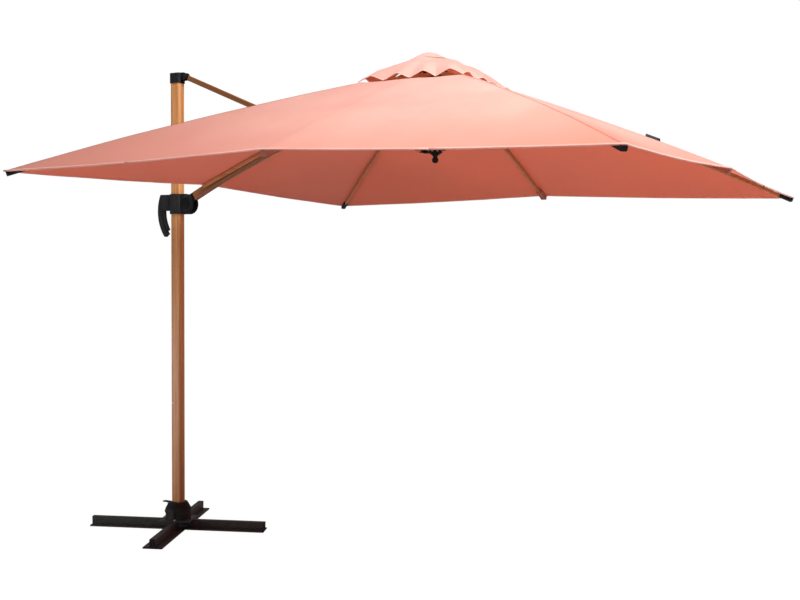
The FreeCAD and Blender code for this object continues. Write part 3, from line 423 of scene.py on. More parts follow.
def blend_colours(tree, factor, first, second):
    """A mix of two colours, each a plain value or another node's output."""
    made = add_node(tree, "ShaderNodeMix", data_type="RGBA")
    sockets = (made.inputs[0], made.inputs[6], made.inputs[7])
    for socket, value in zip(sockets, (factor, first, second)):
        if isinstance(value, (tuple, float, int)):
            socket.default_value = value
        else:
            tree.links.new(value, socket)
    return made.outputs[2]


def bump(tree, shader, height, distance, strength):
    made = add_node(tree, "ShaderNodeBump", Distance=distance, Strength=strength)
    tree.links.new(height, made.inputs["Height"])
    tree.links.new(made.outputs[0], shader.inputs["Normal"])


def ramp(tree, value, low, high):
    """Carries 0 to 1 over to low to high."""
    made = add_node(tree, "ShaderNodeMapRange")
    made.inputs["To Min"].default_value = low
    made.inputs["To Max"].default_value = high
    tree.links.new(value, made.inputs["Value"])
    return made.outputs[0]

# %% [markdown]
# ### Canopy cloth
# The canopy is terracotta polyester.  Its upper side has painted light: pale round the crown,
# deeper further out, as a pool of lamp light.  Its underside has a painted glow, a deep red
# base colour for the light that comes through the dyed yarns.  One colour can't do both, so
# the Backfacing output picks the side, and a translucent shader is mixed in for the light
# that comes through.

# %% Canopy cloth
THROUGH = 0.24
# Centre and distances of the painted light on the upper side: palest within the first distance,
# full colour past the second.
PAINTED_LIGHT_CENTRE, PAINTED_LIGHT_NEAR, PAINTED_LIGHT_FAR = (HUB_X + 0.4, -0.2, PIVOT_Z), 0.4, 1.9


def cloth_material(name, painted_lit, painted_dim, under, dark, glow):
    """Woven polyester: the yarns in the bump, uneven dye, light that comes through, an underside
    with a painted glow, and an upper side with painted light, palest round the crown."""
    material, tree, shader, output, place = new_material(name)
    weave = use_group(tree, WEAVE, place)
    middle = add_node(tree, "ShaderNodeVectorMath", operation="DISTANCE")
    tree.links.new(place, middle.inputs[0])
    middle.inputs[1].default_value = PAINTED_LIGHT_CENTRE
    outer = add_node(tree, "ShaderNodeMapRange", From_Min=PAINTED_LIGHT_NEAR, From_Max=PAINTED_LIGHT_FAR)
    tree.links.new(middle.outputs["Value"], outer.inputs["Value"])
    # Painted light: the upper side is paler near the centre and deeper further out.
    upper = blend_colours(tree, outer.outputs[0], painted_lit, painted_dim)
    side = add_node(tree, "ShaderNodeNewGeometry")
    # The underside gets its own deep red base colour, a painted glow for the light that comes
    # through.
    colour = blend_colours(tree, side.outputs["Backfacing"], upper, under)
    dyed = blend_colours(tree, ramp(tree, weave.outputs["Cloud"], -0.3, 0.6), colour, dark)
    yarned = blend_colours(tree, ramp(tree, weave.outputs["Yarn"], 0.0, 0.35), dyed, dark)
    tree.links.new(yarned, shader.inputs["Base Color"])
    shader.inputs["Roughness"].default_value = 0.82
    shader.inputs["Sheen Weight"].default_value = 0.3
    shader.inputs["Sheen Roughness"].default_value = 0.5
    shader.inputs["Specular IOR Level"].default_value = 0.25
    bump(tree, shader, weave.outputs["Height"], 0.00012, 0.6)
    through = add_node(tree, "ShaderNodeBsdfTranslucent")
    tree.links.new(blend_colours(tree, 0.5, yarned, glow), through.inputs["Color"])
    mix = add_node(tree, "ShaderNodeMixShader", Fac=THROUGH)
    tree.links.new(shader.outputs[0], mix.inputs[1])
    tree.links.new(through.outputs[0], mix.inputs[2])
    tree.links.new(mix.outputs[0], output.inputs[0])
    return material


# Upper colours of the painted light, lit and dim; the underside colour is a painted glow.
TOP_PAINTED_LIT, TOP_PAINTED_DIM = (0.72, 0.425, 0.365, 1), (0.52, 0.175, 0.12, 1)
UNDER_PAINTED_GLOW, DEEP, GLOW = (0.76, 0.15, 0.078, 1), (0.5, 0.13, 0.08, 1), (0.95, 0.17, 0.07, 1)
HEM_TOP_PAINTED_LIT, HEM_TOP_PAINTED_DIM, HEM_UNDER_PAINTED_GLOW = (0.9, 0.6, 0.52, 1), (0.86, 0.5, 0.42, 1), (0.7, 0.3, 0.22, 1)
POCKET = (0.46, 0.14, 0.09, 1)
CLOTH = cloth_material("canopy_cloth_painted_light", TOP_PAINTED_LIT, TOP_PAINTED_DIM, UNDER_PAINTED_GLOW, DEEP, GLOW)
POCKET_CLOTH = cloth_material("pocket_cloth", POCKET, POCKET, POCKET, DEEP, GLOW)
HEM = cloth_material("canopy_hem_painted_light", HEM_TOP_PAINTED_LIT, HEM_TOP_PAINTED_DIM, HEM_UNDER_PAINTED_GLOW, DEEP, GLOW)
print("cloths", [material.name for material in (CLOTH, POCKET_CLOTH, HEM)])

# %% [markdown]
# ### Wood film on the tubes
# The mast, the arm, the strut and the ribs carry the same kind of print, lighter on the mast:
# the arm and the strut have darker copies of its colours, which are painted shade.
# Each tube lies in its own direction, so a Mapping node turns the pattern along it.

# %% Wood film
def film_material(name, turn, light, dark):
    """Wood-grain film on aluminium, its grain along the direction that turn carries Z to."""
    material, tree, shader, _, place = new_material(name)
    mapping = add_node(tree, "ShaderNodeMapping")
    mapping.inputs["Rotation"].default_value = turn
    tree.links.new(place, mapping.inputs["Vector"])
    grain = use_group(tree, GRAIN, mapping.outputs[0])
    figured = blend_colours(tree, ramp(tree, grain.outputs["Streak"], -0.6, 1.6), light, dark)
    pored = blend_colours(tree, ramp(tree, grain.outputs["Pore"], 0.0, 0.45), figured, dark)
    tree.links.new(pored, shader.inputs["Base Color"])
    tree.links.new(ramp(tree, grain.outputs["Streak"], 0.34, 0.5), shader.inputs["Roughness"])
    shader.inputs["Coat Weight"].default_value = 0.12
    shader.inputs["Specular IOR Level"].default_value = 0.3
    shader.inputs["Coat Roughness"].default_value = 0.22
    bump(tree, shader, grain.outputs["Height"], 0.00008, 0.5)
    return material


PINE, UMBER = (0.74, 0.37, 0.14, 1), (0.33, 0.115, 0.036, 1)
# Darker copies of the print's colours for the arm and the strut: painted shade.
PAINTED_SHADE_PINE, PAINTED_SHADE_UMBER = (0.3, 0.112, 0.036, 1), (0.12, 0.04, 0.014, 1)
RIB_WOOD = (0.5, 0.23, 0.095, 1)
ARM_TURN, STRUT_TURN, RIB_TURN = math.radians(-67.6), math.radians(-112), math.radians(90)
MAST_FILM = film_material("mast_film", (0, 0, 0), PINE, UMBER)
# The arm's and the strut's films use the darker copies, which are painted shade.
ARM_FILM = film_material("arm_film_painted_shade", (0, ARM_TURN, 0), PAINTED_SHADE_PINE, PAINTED_SHADE_UMBER)
STRUT_FILM = film_material("strut_film_painted_shade", (0, STRUT_TURN, 0), PAINTED_SHADE_PINE, PAINTED_SHADE_UMBER)
RIB_FILM = film_material("rib_film", (0, RIB_TURN, 0), RIB_WOOD, UMBER)
print("films", [material.name for material in (MAST_FILM, ARM_FILM, STRUT_FILM, RIB_FILM)])

# %% [markdown]
# ### Black parts, bolts and trim
# The base is powder-coated steel, the pivot housing a casting, and the rest black moulding.
# They differ in colour only a little: what tells them apart is the size of the orange peel
# and how sharp the highlight is.

# %% Skins
DUST = (0.4, 0.38, 0.35, 1)


def skin_material(name, colour, worn, roughness, grain, metallic=0.0, shine=0.2):
    """Moulded plastic or powder coat: orange peel, rubbed edges and a little dust on top."""
    material, tree, shader, _, place = new_material(name)
    skin = use_group(tree, SKIN, place)
    skin.inputs["Grain"].default_value = grain
    rubbed = blend_colours(tree, skin.outputs["Wear"], colour, worn)
    dusty = blend_colours(tree, ramp(tree, skin.outputs["Dust"], 0.0, 0.02), rubbed, DUST)
    tree.links.new(dusty, shader.inputs["Base Color"])
    gloss = ramp(tree, skin.outputs["Height"], roughness - 0.08, roughness + 0.1)
    tree.links.new(gloss, shader.inputs["Roughness"])
    shader.inputs["Metallic"].default_value = metallic
    shader.inputs["Specular IOR Level"].default_value = shine
    bump(tree, shader, skin.outputs["Height"], 0.00015, 0.5)
    return material


def shade(value, blue=0.0):
    """A grey of one value, with a little more blue in it when blue is given."""
    return (value, value, value + blue, 1)


WEBBING = skin_material("black_webbing", shade(0.012, 0.001), shade(0.06), 0.7, 1500.0)
PLASTIC = skin_material(
    "black_moulding", (0.0035, 0.004, 0.005, 1), shade(0.03, 0.002), 0.5, 900.0, shine=0.12
)
STEEL = skin_material(
    "black_powder_coat", (0.013, 0.0145, 0.016, 1), shade(0.1, 0.005), 0.42, 420.0, shine=0.4
)
CASTING = skin_material("black_casting", shade(0.008, 0.0005), shade(0.06), 0.5, 260.0)
ZINC = skin_material("zinc_plate", shade(0.5, 0.02), shade(0.7), 0.32, 300.0, 1.0, 0.5)
LINER = skin_material("liner", shade(0.03), shade(0.08), 0.5, 800.0)
IVORY = skin_material("ivory_moulding", (0.62, 0.56, 0.45, 1), (0.72, 0.68, 0.6, 1), 0.4, 900.0)
print("skins", [m.name for m in (WEBBING, PLASTIC, STEEL, CASTING, ZINC, LINER, IVORY)])

# %% [markdown]
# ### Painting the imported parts
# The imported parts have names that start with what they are, so a table of name starts is
# enough to give each its finish.  The longer start comes first where two would fit.

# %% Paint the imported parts
NODE_MATERIALS = {
    "rib_fittings_5": RIB_FILM,
    "cross_beam": STEEL,
    "base_plate": STEEL,
    "beam_end_caps": PLASTIC,
    "plate_bolts": ZINC,
    "pedal_pin": ZINC,
    "pivot_housing": CASTING,
    "turn_sleeve": CASTING,
    "carriage_liner": LINER,
    "mast_tube": MAST_FILM,
    "arm_tube": ARM_FILM,
    "strut_tube": STRUT_FILM,
    "rib_fittings": PLASTIC,
    "rib_": RIB_FILM,
    "stretcher_": RIB_FILM,
}


def node_material(name):
    """The material of the first prefix that the node's name starts with."""
    fitting = (m for prefix, m in NODE_MATERIALS.items() if name.startswith(prefix))
    return next(fitting, PLASTIC)


for name, item in frame["nodes"].items():
    item.data.materials.clear()
    item.data.materials.append(node_material(name))
print(len(frame["nodes"]), "CAD nodes painted")

# %% [markdown]
# ## Building meshes
# Every piece is shaped in a bmesh with Blender's own operators, turned into one object at the
# origin, and then tied to the body that carries it.  Cloth starts as a flat grid whose points
# are carried to a surface, because a grid keeps its rows along the rib and across it.

# %% Helpers for pieces
def finish_piece(name, mesh_maker, material, body):
    """Turns a bmesh into a piece that rides on a body."""
    mesh = bpy.data.meshes.new(name)
    mesh_maker.to_mesh(mesh)
    mesh_maker.free()
    piece = bpy.data.objects.new(name, mesh)
    bpy.context.collection.objects.link(piece)
    mesh.materials.append(material)
    mesh.polygons.foreach_set("use_smooth", [True] * len(mesh.polygons))
    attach(piece, body)
    return piece


def grid_mesh(rows, columns, place):
    """A grid of quads whose points place(u, v) gives, with u across and v along, 0 to 1."""
    made = bmesh.new()
    bmesh.ops.create_grid(made, x_segments=columns, y_segments=rows, size=0.5)
    for vertex in made.verts:
        u, v = vertex.co.x + 0.5, vertex.co.y + 0.5
        vertex.co = place(u, v)
    return made


def area_of(piece):
    """The area of a piece's mesh, in square metres."""
    return sum(polygon.area for polygon in piece.data.polygons)

# %% [markdown]
# ## The canopy's surface
# A square canopy on arched ribs has no simple formula, and its cloth is stretched so tight
# that a simulation would change little.  Here it is described directly.  A point is given by
# side, the half side of the square through it, and by share, 0 over a middle rib and 1 over a
# corner rib.  Its height runs from one rib's arch to the next, with a small sag between them.

# %% Surface of the main cloth
SAG, SAG_START, SAG_FALL = 0.011, 1.15, 0.5
PULL_START, PULL_LENGTH, EDGE_PULL = 1.1, 0.36, 0.007
WRINKLE, BROAD_FOLDS, FINE_FOLDS, BROAD_SHARE, FINE_SHARE = 0.0022, 3.1, 11, 0.7, 0.3


def rib_height(reach, start, tip_reach, tip_z, rise):
    """The height of an arched rib's centreline at a distance from the hub's axis."""
    chord = math.hypot(tip_reach - start, PIVOT_Z - tip_z)
    radius = (chord * chord / 4 + rise * rise) / (2 * rise)
    lean = math.atan2(PIVOT_Z - tip_z, tip_reach - start)
    centre_reach = (start + tip_reach) / 2 - math.sin(lean) * (radius - rise)
    centre_z = (PIVOT_Z + tip_z) / 2 - math.cos(lean) * (radius - rise)
    return centre_z + math.sqrt((radius + CLOTH_LIFT) ** 2 - (reach - centre_reach) ** 2)


def cloth_height(side, share, start):
    """The cloth's height: it sags between two ribs, and more the further out it is."""
    middle = rib_height(side, start, MID_REACH, MID_TIP_Z, MID_RISE)
    corner = rib_height(side * math.sqrt(2), PIVOT_RADIUS, CORNER_REACH, CORNER_TIP_Z, CORNER_RISE)
    span = side / EDGE_SIDE
    sag = SAG * math.sin(math.pi * share) * span * (SAG_START - SAG_FALL * span)
    return middle + (corner - middle) * share - sag


def is_corner(gore):
    return gore % 2 == 0


def share_of(gore, across):
    """How far a point is from the nearest middle rib, 0, towards a corner rib, 1."""
    return 1 - abs(across) / 2 if is_corner(gore) else abs(across) / 2


def square_point(gore, side, across, height, pull=0.0):
    """A point of a gore, across -1 to 1 from one seam to the other."""
    angle = azimuth_of(gore)
    share = share_of(gore, across)
    sign = math.copysign(1, across)
    reach = side - pull
    if is_corner(gore):
        toward, along = angle + sign * math.pi / 4, -sign
    else:
        toward, along = angle, sign
    outward = Vector((math.cos(toward), math.sin(toward), 0))
    sideways = Vector((-math.sin(toward), math.cos(toward), 0)) * along
    faces_mast = outward.x < -0.99
    start = RAIL_RADIUS if faces_mast else PIVOT_RADIUS
    shift = max(share * side, SLIT_HALF) if gore == RAIL_GORE else share * side
    point = outward * reach + sideways * shift
    return Vector((HUB_X + point.x, point.y, height(side, share, start)))


def edge_pull(side, share):
    """The hem is drawn in a little between the rib tips."""
    near = max(0.0, (side - PULL_START) / PULL_LENGTH)
    return EDGE_PULL * math.sin(math.pi * share) * near ** 3


def wrinkle(point, size):
    """A small soft unevenness, part broad and part fine, that is the same each run."""
    wave = noise.noise(Vector((point.x * BROAD_FOLDS, point.y * BROAD_FOLDS, 0.7)))
    fine = noise.noise(Vector((point.x * FINE_FOLDS, point.y * FINE_FOLDS, 2.3)))
    return size * (wave * BROAD_SHARE + fine * FINE_SHARE)


def main_point(gore, side, across):
    """A point of the main cloth."""
    pull = edge_pull(side, share_of(gore, across))
    point = square_point(gore, side, across, cloth_height, pull)
    point.z += wrinkle(point, WRINKLE)
    return point


print("edge at the middle rib", round(main_point(1, EDGE_SIDE, CLOSE_TO_SEAM).z, 3))

# %% [markdown]
# ### Surface of the crown
# A raised crown lets the wind out through the gap below it.  It is a second, smaller cloth
# that is tied down on the ribs and half way between them, so its edge stands up in loops.
# Its highest point is over the arm's tip, which is not quite the hub's middle.

# %% Surface of the crown
CROWN_TOP, CROWN_SHOULDER, SHOULDER_SIDE = 2.588, 2.564, 0.115
CROWN_GAP, CROWN_RUFFLE, CROWN_START = 0.003, 0.018, 0.062
PEAK_SHIFT, PEAK_RISE, PEAK_SPREAD = -0.062, 0.042, 0.085
CROWN_SLOPE, CROWN_WRINKLE, UNEVEN_SCALE = 0.3, 0.006, 9
SHOULDER_CURVE, LOOP_CURVE = 1.6, 1.3
SLACK_BASE, SLACK_FAR, SLACK_UNEVEN = 0.15, 0.45, 0.9


def crown_height(side, share, start):
    """The crown falls from its middle, and its edge stands up in loops between the places
    where it is tied down, on the ribs and half way between them."""
    if side <= SHOULDER_SIDE:
        fall = (side / SHOULDER_SIDE) ** SHOULDER_CURVE
        return CROWN_TOP - (CROWN_TOP - CROWN_SHOULDER) * fall
    out = (side - SHOULDER_SIDE) / (CROWN_SIDE - SHOULDER_SIDE)
    loop = 1 - abs(2 * (2 * share % 1) - 1) ** LOOP_CURVE
    edge = cloth_height(CROWN_SIDE, share, start) + CROWN_GAP + CROWN_RUFFLE * loop
    smooth = out * out * (3 - 2 * out)
    straight = CROWN_SHOULDER + (edge - CROWN_SHOULDER) * out
    level = CROWN_SHOULDER - CROWN_SLOPE * (CROWN_SIDE - SHOULDER_SIDE) * out
    return straight * smooth + level * (1 - smooth)


def peak(x, y):
    """The rise of the crown's peak at a place given from the hub's axis."""
    away = math.hypot(x - PEAK_SHIFT, y) / PEAK_SPREAD
    return PEAK_RISE * math.exp(-away * away)


def crown_point(gore, side, across):
    """A point of the crown.  Its loops are uneven, and flatter on the far side."""
    point = square_point(gore, side, across, crown_height)
    point.z += peak(point.x - HUB_X, point.y)
    out = min(1.0, side / CROWN_SIDE)
    uneven = noise.noise(Vector((point.x * UNEVEN_SCALE, point.y * UNEVEN_SCALE, 4.1)))
    lift = point.z - square_point(gore, side, across, cloth_height).z - CROWN_GAP
    slack = SLACK_FAR * (point.y / CROWN_SIDE) + SLACK_BASE - SLACK_UNEVEN * uneven
    point.z -= slack * max(0.0, lift) * out ** 2
    point.z += wrinkle(point * 4, CROWN_WRINKLE) * out * (1 - out ** 4)
    return point


print("crown's edge on a rib", round(crown_point(1, CROWN_SIDE, CLOSE_TO_SEAM).z, 3))

# %% [markdown]
# ## The canopy
# A real canopy has its seams along the ribs.  Here it is eight gores, one over each rib, that
# meet half way between the ribs, so that each gore belongs to one rib, and strips over the
# ribs stand for the seams.  When the parasol closes, the real cloth hangs in folds between
# the ribs.  A simulation of that would have to run again at every pose, so each gore rides on
# its rib instead.  The gore on the mast's side is two halves, one over each rail, with the
# arm's slit between them.

# %% Gores and hems: helpers
WELD = 1e-6


def gather(piece):
    """Gives a piece a mesh of its own."""
    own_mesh(piece)


def cloth_piece(name, gore, point, sides, span, columns, rows):
    """A sheet of a gore between two half sides and two places across, its faces up."""
    first, last = span

    def place(u, v):
        across = first + (last - first) * u
        return point(gore, sides[0] + (sides[1] - sides[0]) * v, across)

    made = grid_mesh(rows, columns, place)
    bmesh.ops.recalc_face_normals(made, faces=made.faces)
    if sum(face.normal.z for face in made.faces) < 0:
        bmesh.ops.reverse_faces(made, faces=made.faces)
    return finish_piece(name, made, CLOTH, f"rib_{gore}")


HEM_RADIUS, CROWN_HEM_RADIUS, HEM_STEP, HEM_LIFT, HEM_SIDES = 0.0042, 0.0028, 0.02, 0.2, 8


def hem_piece(name, gore, point, side, span, radius, columns):
    """A rolled hem along a gore's outer edge: a closed tube that follows the edge."""
    first, last = span

    def place(u, v):
        across = first + (last - first) * u
        outer, inner = point(gore, side, across), point(gore, side - HEM_STEP, across)
        outward = (outer - inner).normalized()
        angle = 2 * math.pi * v
        centre = outer - outward * radius + Vector((0, 0, radius * HEM_LIFT))
        rise = Vector((0, 0, math.sin(angle) * radius))
        return centre + outward * math.cos(angle) * radius + rise

    made = grid_mesh(HEM_SIDES, columns, place)
    bmesh.ops.remove_doubles(made, verts=made.verts, dist=WELD)
    bmesh.ops.holes_fill(made, edges=[edge for edge in made.edges if edge.is_boundary])
    bmesh.ops.recalc_face_normals(made, faces=made.faces)
    return finish_piece(name, made, HEM, f"rib_{gore}")


# %% Gores and hems
COLUMNS, GORE_ROWS, CROWN_ROWS = 32, 48, 24
MAIN_SIDES, CROWN_SIDES = (VENT_SIDE, EDGE_SIDE), (CROWN_START, CROWN_SIDE)

for gore in GORES:
    for tag, first, last, offset in parts_of(gore):
        kind = "half" if gore == RAIL_GORE else ("corner" if is_corner(gore) else "middle")
        columns = COLUMNS // 2 if kind == "half" else COLUMNS
        span = (first, last)
        main = cloth_piece(f"gore_{tag}", gore, main_point, MAIN_SIDES, span, columns, GORE_ROWS)
        crown = cloth_piece(
            f"crown_{tag}", gore, crown_point, CROWN_SIDES, span, columns, CROWN_ROWS
        )
        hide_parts(f"canopy_gore_{gore}")
        hem = hem_piece(f"hem_{tag}", gore, main_point, EDGE_SIDE, span, HEM_RADIUS, columns)
        crown_hem = hem_piece(
            f"crown_hem_{tag}", gore, crown_point, CROWN_SIDE, span, CROWN_HEM_RADIUS, columns
        )
        for piece in (main, crown, hem, crown_hem):
            gather(piece)
canopy_names = [o.name for o in bpy.data.objects if o.name.startswith(("gore", "crown", "hem"))]
print("canopy", len(canopy_names), "pieces")

# %% [markdown]
# ## Crown patch
# The crown's gores turn down with their own ribs when the parasol closes, so they can't meet
# in one point over the hub.  A square patch closes the crown there.  It rides on the hub and
# keeps its shape, and it lies a little above the gores so that the two never share a surface.

# %% Crown patch
PATCH_OVERLAP, PATCH_LIFT, PATCH_CELLS, FLAT_PATCH = 0.012, 0.0022, 24, (0.155, 0.155)


def patch_point(u, v):
    reach = CROWN_START + PATCH_OVERLAP
    x, y = (u * 2 - 1) * reach, (v * 2 - 1) * reach
    side = max(abs(x), abs(y), CLOSE_TO_SEAM)
    share = min(abs(x), abs(y)) / side
    height = crown_height(side, share, PIVOT_RADIUS) + peak(x, y)
    return Vector((HUB_X + x, y, height + PATCH_LIFT))


patch_mesh = grid_mesh(PATCH_CELLS, PATCH_CELLS, patch_point)
patch = finish_piece("crown_patch", patch_mesh, CLOTH, "hub")
print("crown patch", round(area_of(patch), 4), "m2")

# %% [markdown]
# ## Seams
# Each rib has a felled seam over it, where two layers of cloth lie on each other.  A bump in
# the material would show in a picture but not in the mesh, so the seam is a narrow strip a
# little proud of the canopy, with its edges turned down into it.

# %% Seams
STRIP_COLUMNS, STRIP_TUCK = 6, 0.0004
SEAM_HALF, SEAM_LIFT, SEAM_END, SEAM_ROWS = 0.006, 0.0007, 0.004, 40


def ridge_strip(name, gore, sides, half_width, lift, material, offset, rows):
    """A strip that lies along a rib, lift above the cloth, with its edges turned down."""
    angle = azimuth_of(gore)
    sideways = Vector((-math.sin(angle), math.cos(angle), 0))
    across = -CLOSE_TO_SEAM if offset > 0 else CLOSE_TO_SEAM

    def place(u, v):
        side = sides[0] + (sides[1] - sides[0]) * v
        aside = (u * 2 - 1) * half_width
        ridge = main_point(gore, side, across)
        if gore == RAIL_GORE:
            ridge.y = offset
        fall = lift * (1 - (u * 2 - 1) ** 4)
        return ridge + sideways * aside + Vector((0, 0, fall - STRIP_TUCK))

    made = grid_mesh(rows, STRIP_COLUMNS, place)
    made.normal_update()
    if sum(face.normal.z for face in made.faces) < 0:
        bmesh.ops.reverse_faces(made, faces=made.faces)
    return finish_piece(name, made, material, f"rib_{gore}")


seam_sides = (VENT_SIDE, EDGE_SIDE - SEAM_END)
for gore in GORES:
    for tag, _, _, offset in parts_of(gore):
        seam = ridge_strip(
            f"seam_{tag}", gore, seam_sides, SEAM_HALF, SEAM_LIFT, CLOTH, offset, SEAM_ROWS
        )
print("seams on gores", list(GORES))

# %% [markdown]
# ## Pockets
# The cloth is held at the end of each middle rib by a sewn pocket that takes the end cap.  It
# is a padded sleeve with soft corners, so a box is cut into rows, its edges are bevelled and
# its middle is drawn in a little.  The rails beside the arm have none that shows.

# %% Pockets
POCKET_SIZE, POCKET_SLOPE = (0.094, 0.035, 0.0275), math.radians(22.7)
POCKET_OVERHANG, POCKET_BEVEL, POCKET_WAIST = 0.005, 0.004, 0.12
POCKET_GORES = (1, 3, 7)


def cap_pocket(name, gore):
    """The cloth pocket that takes the end cap of a middle rib, sewn under the hem."""
    length = POCKET_SIZE[0]
    made = bmesh.new()
    bmesh.ops.create_cube(made, size=1)
    bmesh.ops.subdivide_edges(made, edges=made.edges[:], cuts=3, use_grid_fill=True)
    bmesh.ops.scale(made, vec=POCKET_SIZE, verts=made.verts)
    bmesh.ops.bevel(
        made,
        geom=[edge for edge in made.edges if edge.calc_face_angle(0) > 1],
        offset=POCKET_BEVEL,
        segments=3,
        profile=0.5,
        affect="EDGES",
        material=-1,
    )
    for vertex in made.verts:
        vertex.co.y *= 1 - POCKET_WAIST * math.cos(vertex.co.x / length * math.pi) ** 2
    inset = length / 2 - POCKET_OVERHANG
    reach = MID_REACH - inset * math.cos(POCKET_SLOPE)
    z = MID_TIP_Z + inset * math.sin(POCKET_SLOPE)
    place = Matrix.Translation((HUB_X, 0, 0)) @ Matrix.Rotation(azimuth_of(gore), 4, "Z")
    place = place @ Matrix.Translation((reach, 0, z)) @ Matrix.Rotation(POCKET_SLOPE, 4, "Y")
    bmesh.ops.transform(made, matrix=place, verts=made.verts)
    bmesh.ops.recalc_face_normals(made, faces=made.faces)
    pocket = finish_piece(name, made, POCKET_CLOTH, f"rib_{gore}")


for gore in POCKET_GORES:
    cap_pocket(f"pocket_{gore}", gore)
print("pockets on gores", POCKET_GORES)

# %% [markdown]
# ## Ridge strap
# A short black strap is sewn across the rib furthest from the mast, with some slack in it.
# It could be a cord, but it is flat webbing that hardly moves, so it is the seam's strip
# again, wider and higher.

# %% Ridge strap
STRAP_SIDES, STRAP_HALF, STRAP_LIFT, STRAP_ROWS = (1.075, 1.135), 0.017, 0.0125, 12
strap = ridge_strip(
    "ridge_strap", 1, STRAP_SIDES, STRAP_HALF, STRAP_LIFT, WEBBING, 0.0, STRAP_ROWS
)
print("ridge strap", round(area_of(strap), 4), "m2")

# %% [markdown]
# ## Domed heads
# Pins, bosses and plugs end in shallow domes that catch the light.  A bevelled cylinder would
# give a flat head with a soft rim, so half a sphere is flattened instead and closed below.
# One larger dome is the cap on the hub that the crown patch rests on.

# %% Domed heads
DOME_SEGMENTS, DOME_RINGS = 28, 14


def dome(name, centre, outward, radius, height, body, material=PLASTIC):
    """A shallow domed head, its flat side on a face."""
    made = bmesh.new()
    bmesh.ops.create_uvsphere(made, u_segments=DOME_SEGMENTS, v_segments=DOME_RINGS, radius=1)
    everything = made.verts[:] + made.edges[:] + made.faces[:]
    bmesh.ops.bisect_plane(
        made, geom=everything, plane_co=(0, 0, 0), plane_no=(0, 0, 1), clear_inner=True
    )
    rim = [edge for edge in made.edges if edge.is_boundary]
    bmesh.ops.contextual_create(made, geom=rim)
    bmesh.ops.scale(made, vec=(radius, radius, height), verts=made.verts)
    turn = Vector(outward).to_track_quat("Z", "Y").to_matrix().to_4x4()
    bmesh.ops.transform(made, matrix=Matrix.Translation(Vector(centre)) @ turn, verts=made.verts)
    bmesh.ops.recalc_face_normals(made, faces=made.faces)
    piece = finish_piece(name, made, material, body)


FOOT_PIN, LUG_MIDDLE, LUG_FACE = (0.100, 1.930), (0.076, 1.901), 0.0240
FOOT_PIN_RADIUS, FOOT_PIN_HEIGHT = 0.012, 0.005
LUG_RADIUS, LUG_HEIGHT = 0.040, 0.0035
for side_name, sign in (("near", -1), ("far", 1)):
    outward = (0, sign, 0)
    pin_place = (FOOT_PIN[0], sign * LUG_FACE, FOOT_PIN[1])
    lug_place = (LUG_MIDDLE[0], sign * LUG_FACE, LUG_MIDDLE[1])
    pin_name, lug_name = f"foot_pin_{side_name}", f"lug_boss_{side_name}"
    dome(pin_name, pin_place, outward, FOOT_PIN_RADIUS, FOOT_PIN_HEIGHT, "carriage")
    dome(lug_name, lug_place, outward, LUG_RADIUS, LUG_HEIGHT, "carriage")

FINIAL_RADIUS, FINIAL_SUNK, FINIAL_GAP = 0.030, 0.022, 0.003
FINIAL_SHIFT, PEAK_THERE = 0.6, 0.82
finial_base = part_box("upper_hub")[1][2] - FINIAL_SUNK
finial_x = PEAK_SHIFT * FINIAL_SHIFT
cloth_above = crown_height(abs(finial_x), 0, PIVOT_RADIUS) + PEAK_RISE * PEAK_THERE
finial_height = cloth_above - finial_base - FINIAL_GAP
finial_place = (HUB_X + finial_x, 0, finial_base)
dome("hub_finial", finial_place, (0, 0, 1), FINIAL_RADIUS, finial_height, "hub")

PLUG_PLACE, PLUG_RADIUS, PLUG_HEIGHT = (-0.022, -0.0249, 0.744), 0.0055, 0.0025
dome(
    "mast_plug", PLUG_PLACE, (0, -1, 0), PLUG_RADIUS, PLUG_HEIGHT, "mast", IVORY
)
print("pins, bosses, hub cap", round(finial_base, 3), "to", round(cloth_above, 3), "and plug")

# %% [markdown]
# ## Stretcher shoes
# Each stretcher's inner end sits in a black moulded shoe beside the runner.  It is a short
# block that narrows outwards, so a box has its far end scaled down, then all its edges
# bevelled, and it is laid along the line from the runner to the stretcher's outer joint.

# %% Stretcher shoes
SHOE_SIZE, SHOE_TAPER = (0.085, 0.0125, 0.0175), (1, 0.86, 0.72)
SHOE_START, SHOE_BEVEL = 0.016, 0.0028
RUNNER_RADIUS, STRETCHER_HALF = 0.026, 0.008


def stretcher_shoe(name, gore, offset):
    """The black end piece that a stretcher's inner end is moulded into, beside the runner."""
    angle = azimuth_of(gore)
    outward = Vector((math.cos(angle), math.sin(angle), 0))
    sideways = Vector((-math.sin(angle), math.cos(angle), 0))
    outer = Vector(JOINTS[f"stretcher_{gore}_fold"]["pos_m"])
    inset = RAIL_RADIUS - PIVOT_RADIUS if gore == RAIL_GORE else 0.0
    pivot_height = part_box("stretcher_1")[0][2] + STRETCHER_HALF
    inner = Vector((HUB_X, 0, pivot_height)) + outward * (RUNNER_RADIUS + inset)
    along = (outer - inner).normalized()
    made = bmesh.new()
    bmesh.ops.create_cube(made, size=1)
    bmesh.ops.scale(made, vec=SHOE_SIZE, verts=made.verts)
    far_end = [vertex for vertex in made.verts if vertex.co.x > 0]
    bmesh.ops.scale(made, vec=SHOE_TAPER, verts=far_end)
    bmesh.ops.bevel(
        made,
        geom=made.edges[:],
        offset=SHOE_BEVEL,
        segments=3,
        profile=0.5,
        affect="EDGES",
        material=-1,
    )
    turn = Matrix((along, sideways, along.cross(sideways))).transposed().to_4x4()
    centre = inner + along * (SHOE_SIZE[0] / 2 + SHOE_START) + sideways * -offset
    bmesh.ops.transform(made, matrix=Matrix.Translation(centre) @ turn, verts=made.verts)
    bmesh.ops.recalc_face_normals(made, faces=made.faces)
    shoe = finish_piece(name, made, PLASTIC, f"stretcher_{gore}")


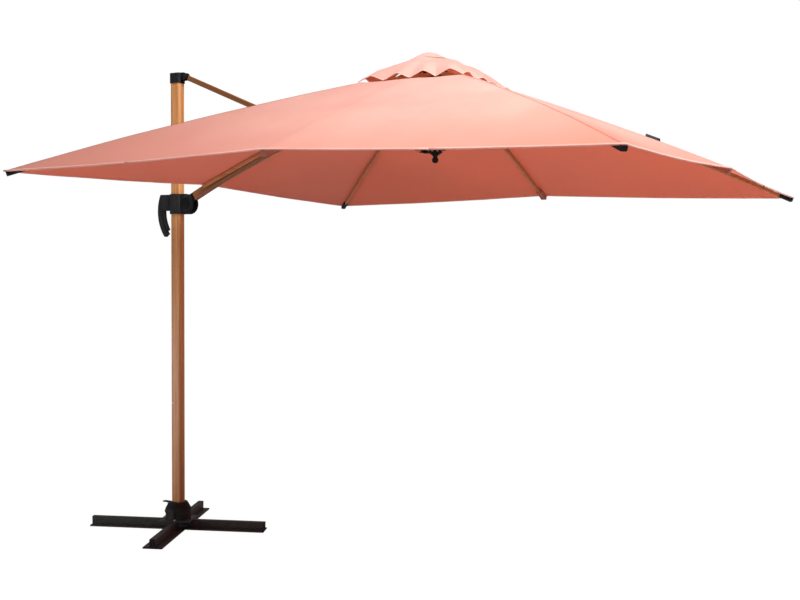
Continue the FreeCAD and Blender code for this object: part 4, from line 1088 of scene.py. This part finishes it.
for gore in GORES:
    for tag, _, _, offset in parts_of(gore):
        stretcher_shoe(f"shoe_{tag}", gore, offset)
print("stretcher shoes")

# %% [markdown]
# ## Handle lines and lever bumps
# The handle has two raised lines on each side that follow its bow, and the lever has three
# bumps for the fingers.  A line could be a curve with a round profile, but a small circle
# that is spun about the bow's centre is a mesh from the start and ends exactly where it
# should.  Its two ends are filled afterwards.

# %% Handle lines and lever bumps
HANDLE_CENTRE = Vector((0.104, 0, 1.860))
LINE_RADII, LINE_FACE, LINE_THICKNESS, LINE_STEPS = (0.222, 0.236), 0.0128, 0.0012, 36
LINE_START, LINE_SWEEP = math.radians(180 + 34), math.radians(54)
for side_name, sign in (("near", -1), ("far", 1)):
    for number, radius in enumerate(LINE_RADII):
        made = bmesh.new()
        bmesh.ops.create_circle(made, cap_ends=False, segments=10, radius=LINE_THICKNESS)
        spot = HANDLE_CENTRE + Vector(
            (math.cos(LINE_START) * radius, sign * LINE_FACE, math.sin(LINE_START) * radius)
        )
        turn = Matrix.Rotation(-LINE_START, 4, "Y")
        bmesh.ops.transform(made, matrix=Matrix.Translation(spot) @ turn, verts=made.verts)
        bmesh.ops.spin(
            made,
            geom=made.verts[:] + made.edges[:],
            cent=HANDLE_CENTRE,
            axis=(0, 1, 0),
            angle=LINE_SWEEP,
            steps=LINE_STEPS,
        )
        open_ends = [edge for edge in made.edges if edge.is_boundary]
        bmesh.ops.holes_fill(made, edges=open_ends)
        bmesh.ops.recalc_face_normals(made, faces=made.faces)
        line = finish_piece(f"handle_line_{side_name}_{number}", made, PLASTIC, "carriage")

BUMP_ANGLES, BUMP_REACH, BUMP_RADIUS, BUMP_HEIGHT = (198, 204, 210), 0.1972, 0.0085, 0.006
for number, degrees in enumerate(BUMP_ANGLES):
    angle = math.radians(degrees)
    spot = HANDLE_CENTRE + Vector((math.cos(angle), 0, math.sin(angle))) * BUMP_REACH
    dome(f"lever_bump_{number}", spot, HANDLE_CENTRE - spot, BUMP_RADIUS, BUMP_HEIGHT, "lever")
print("handle lines and lever bumps")
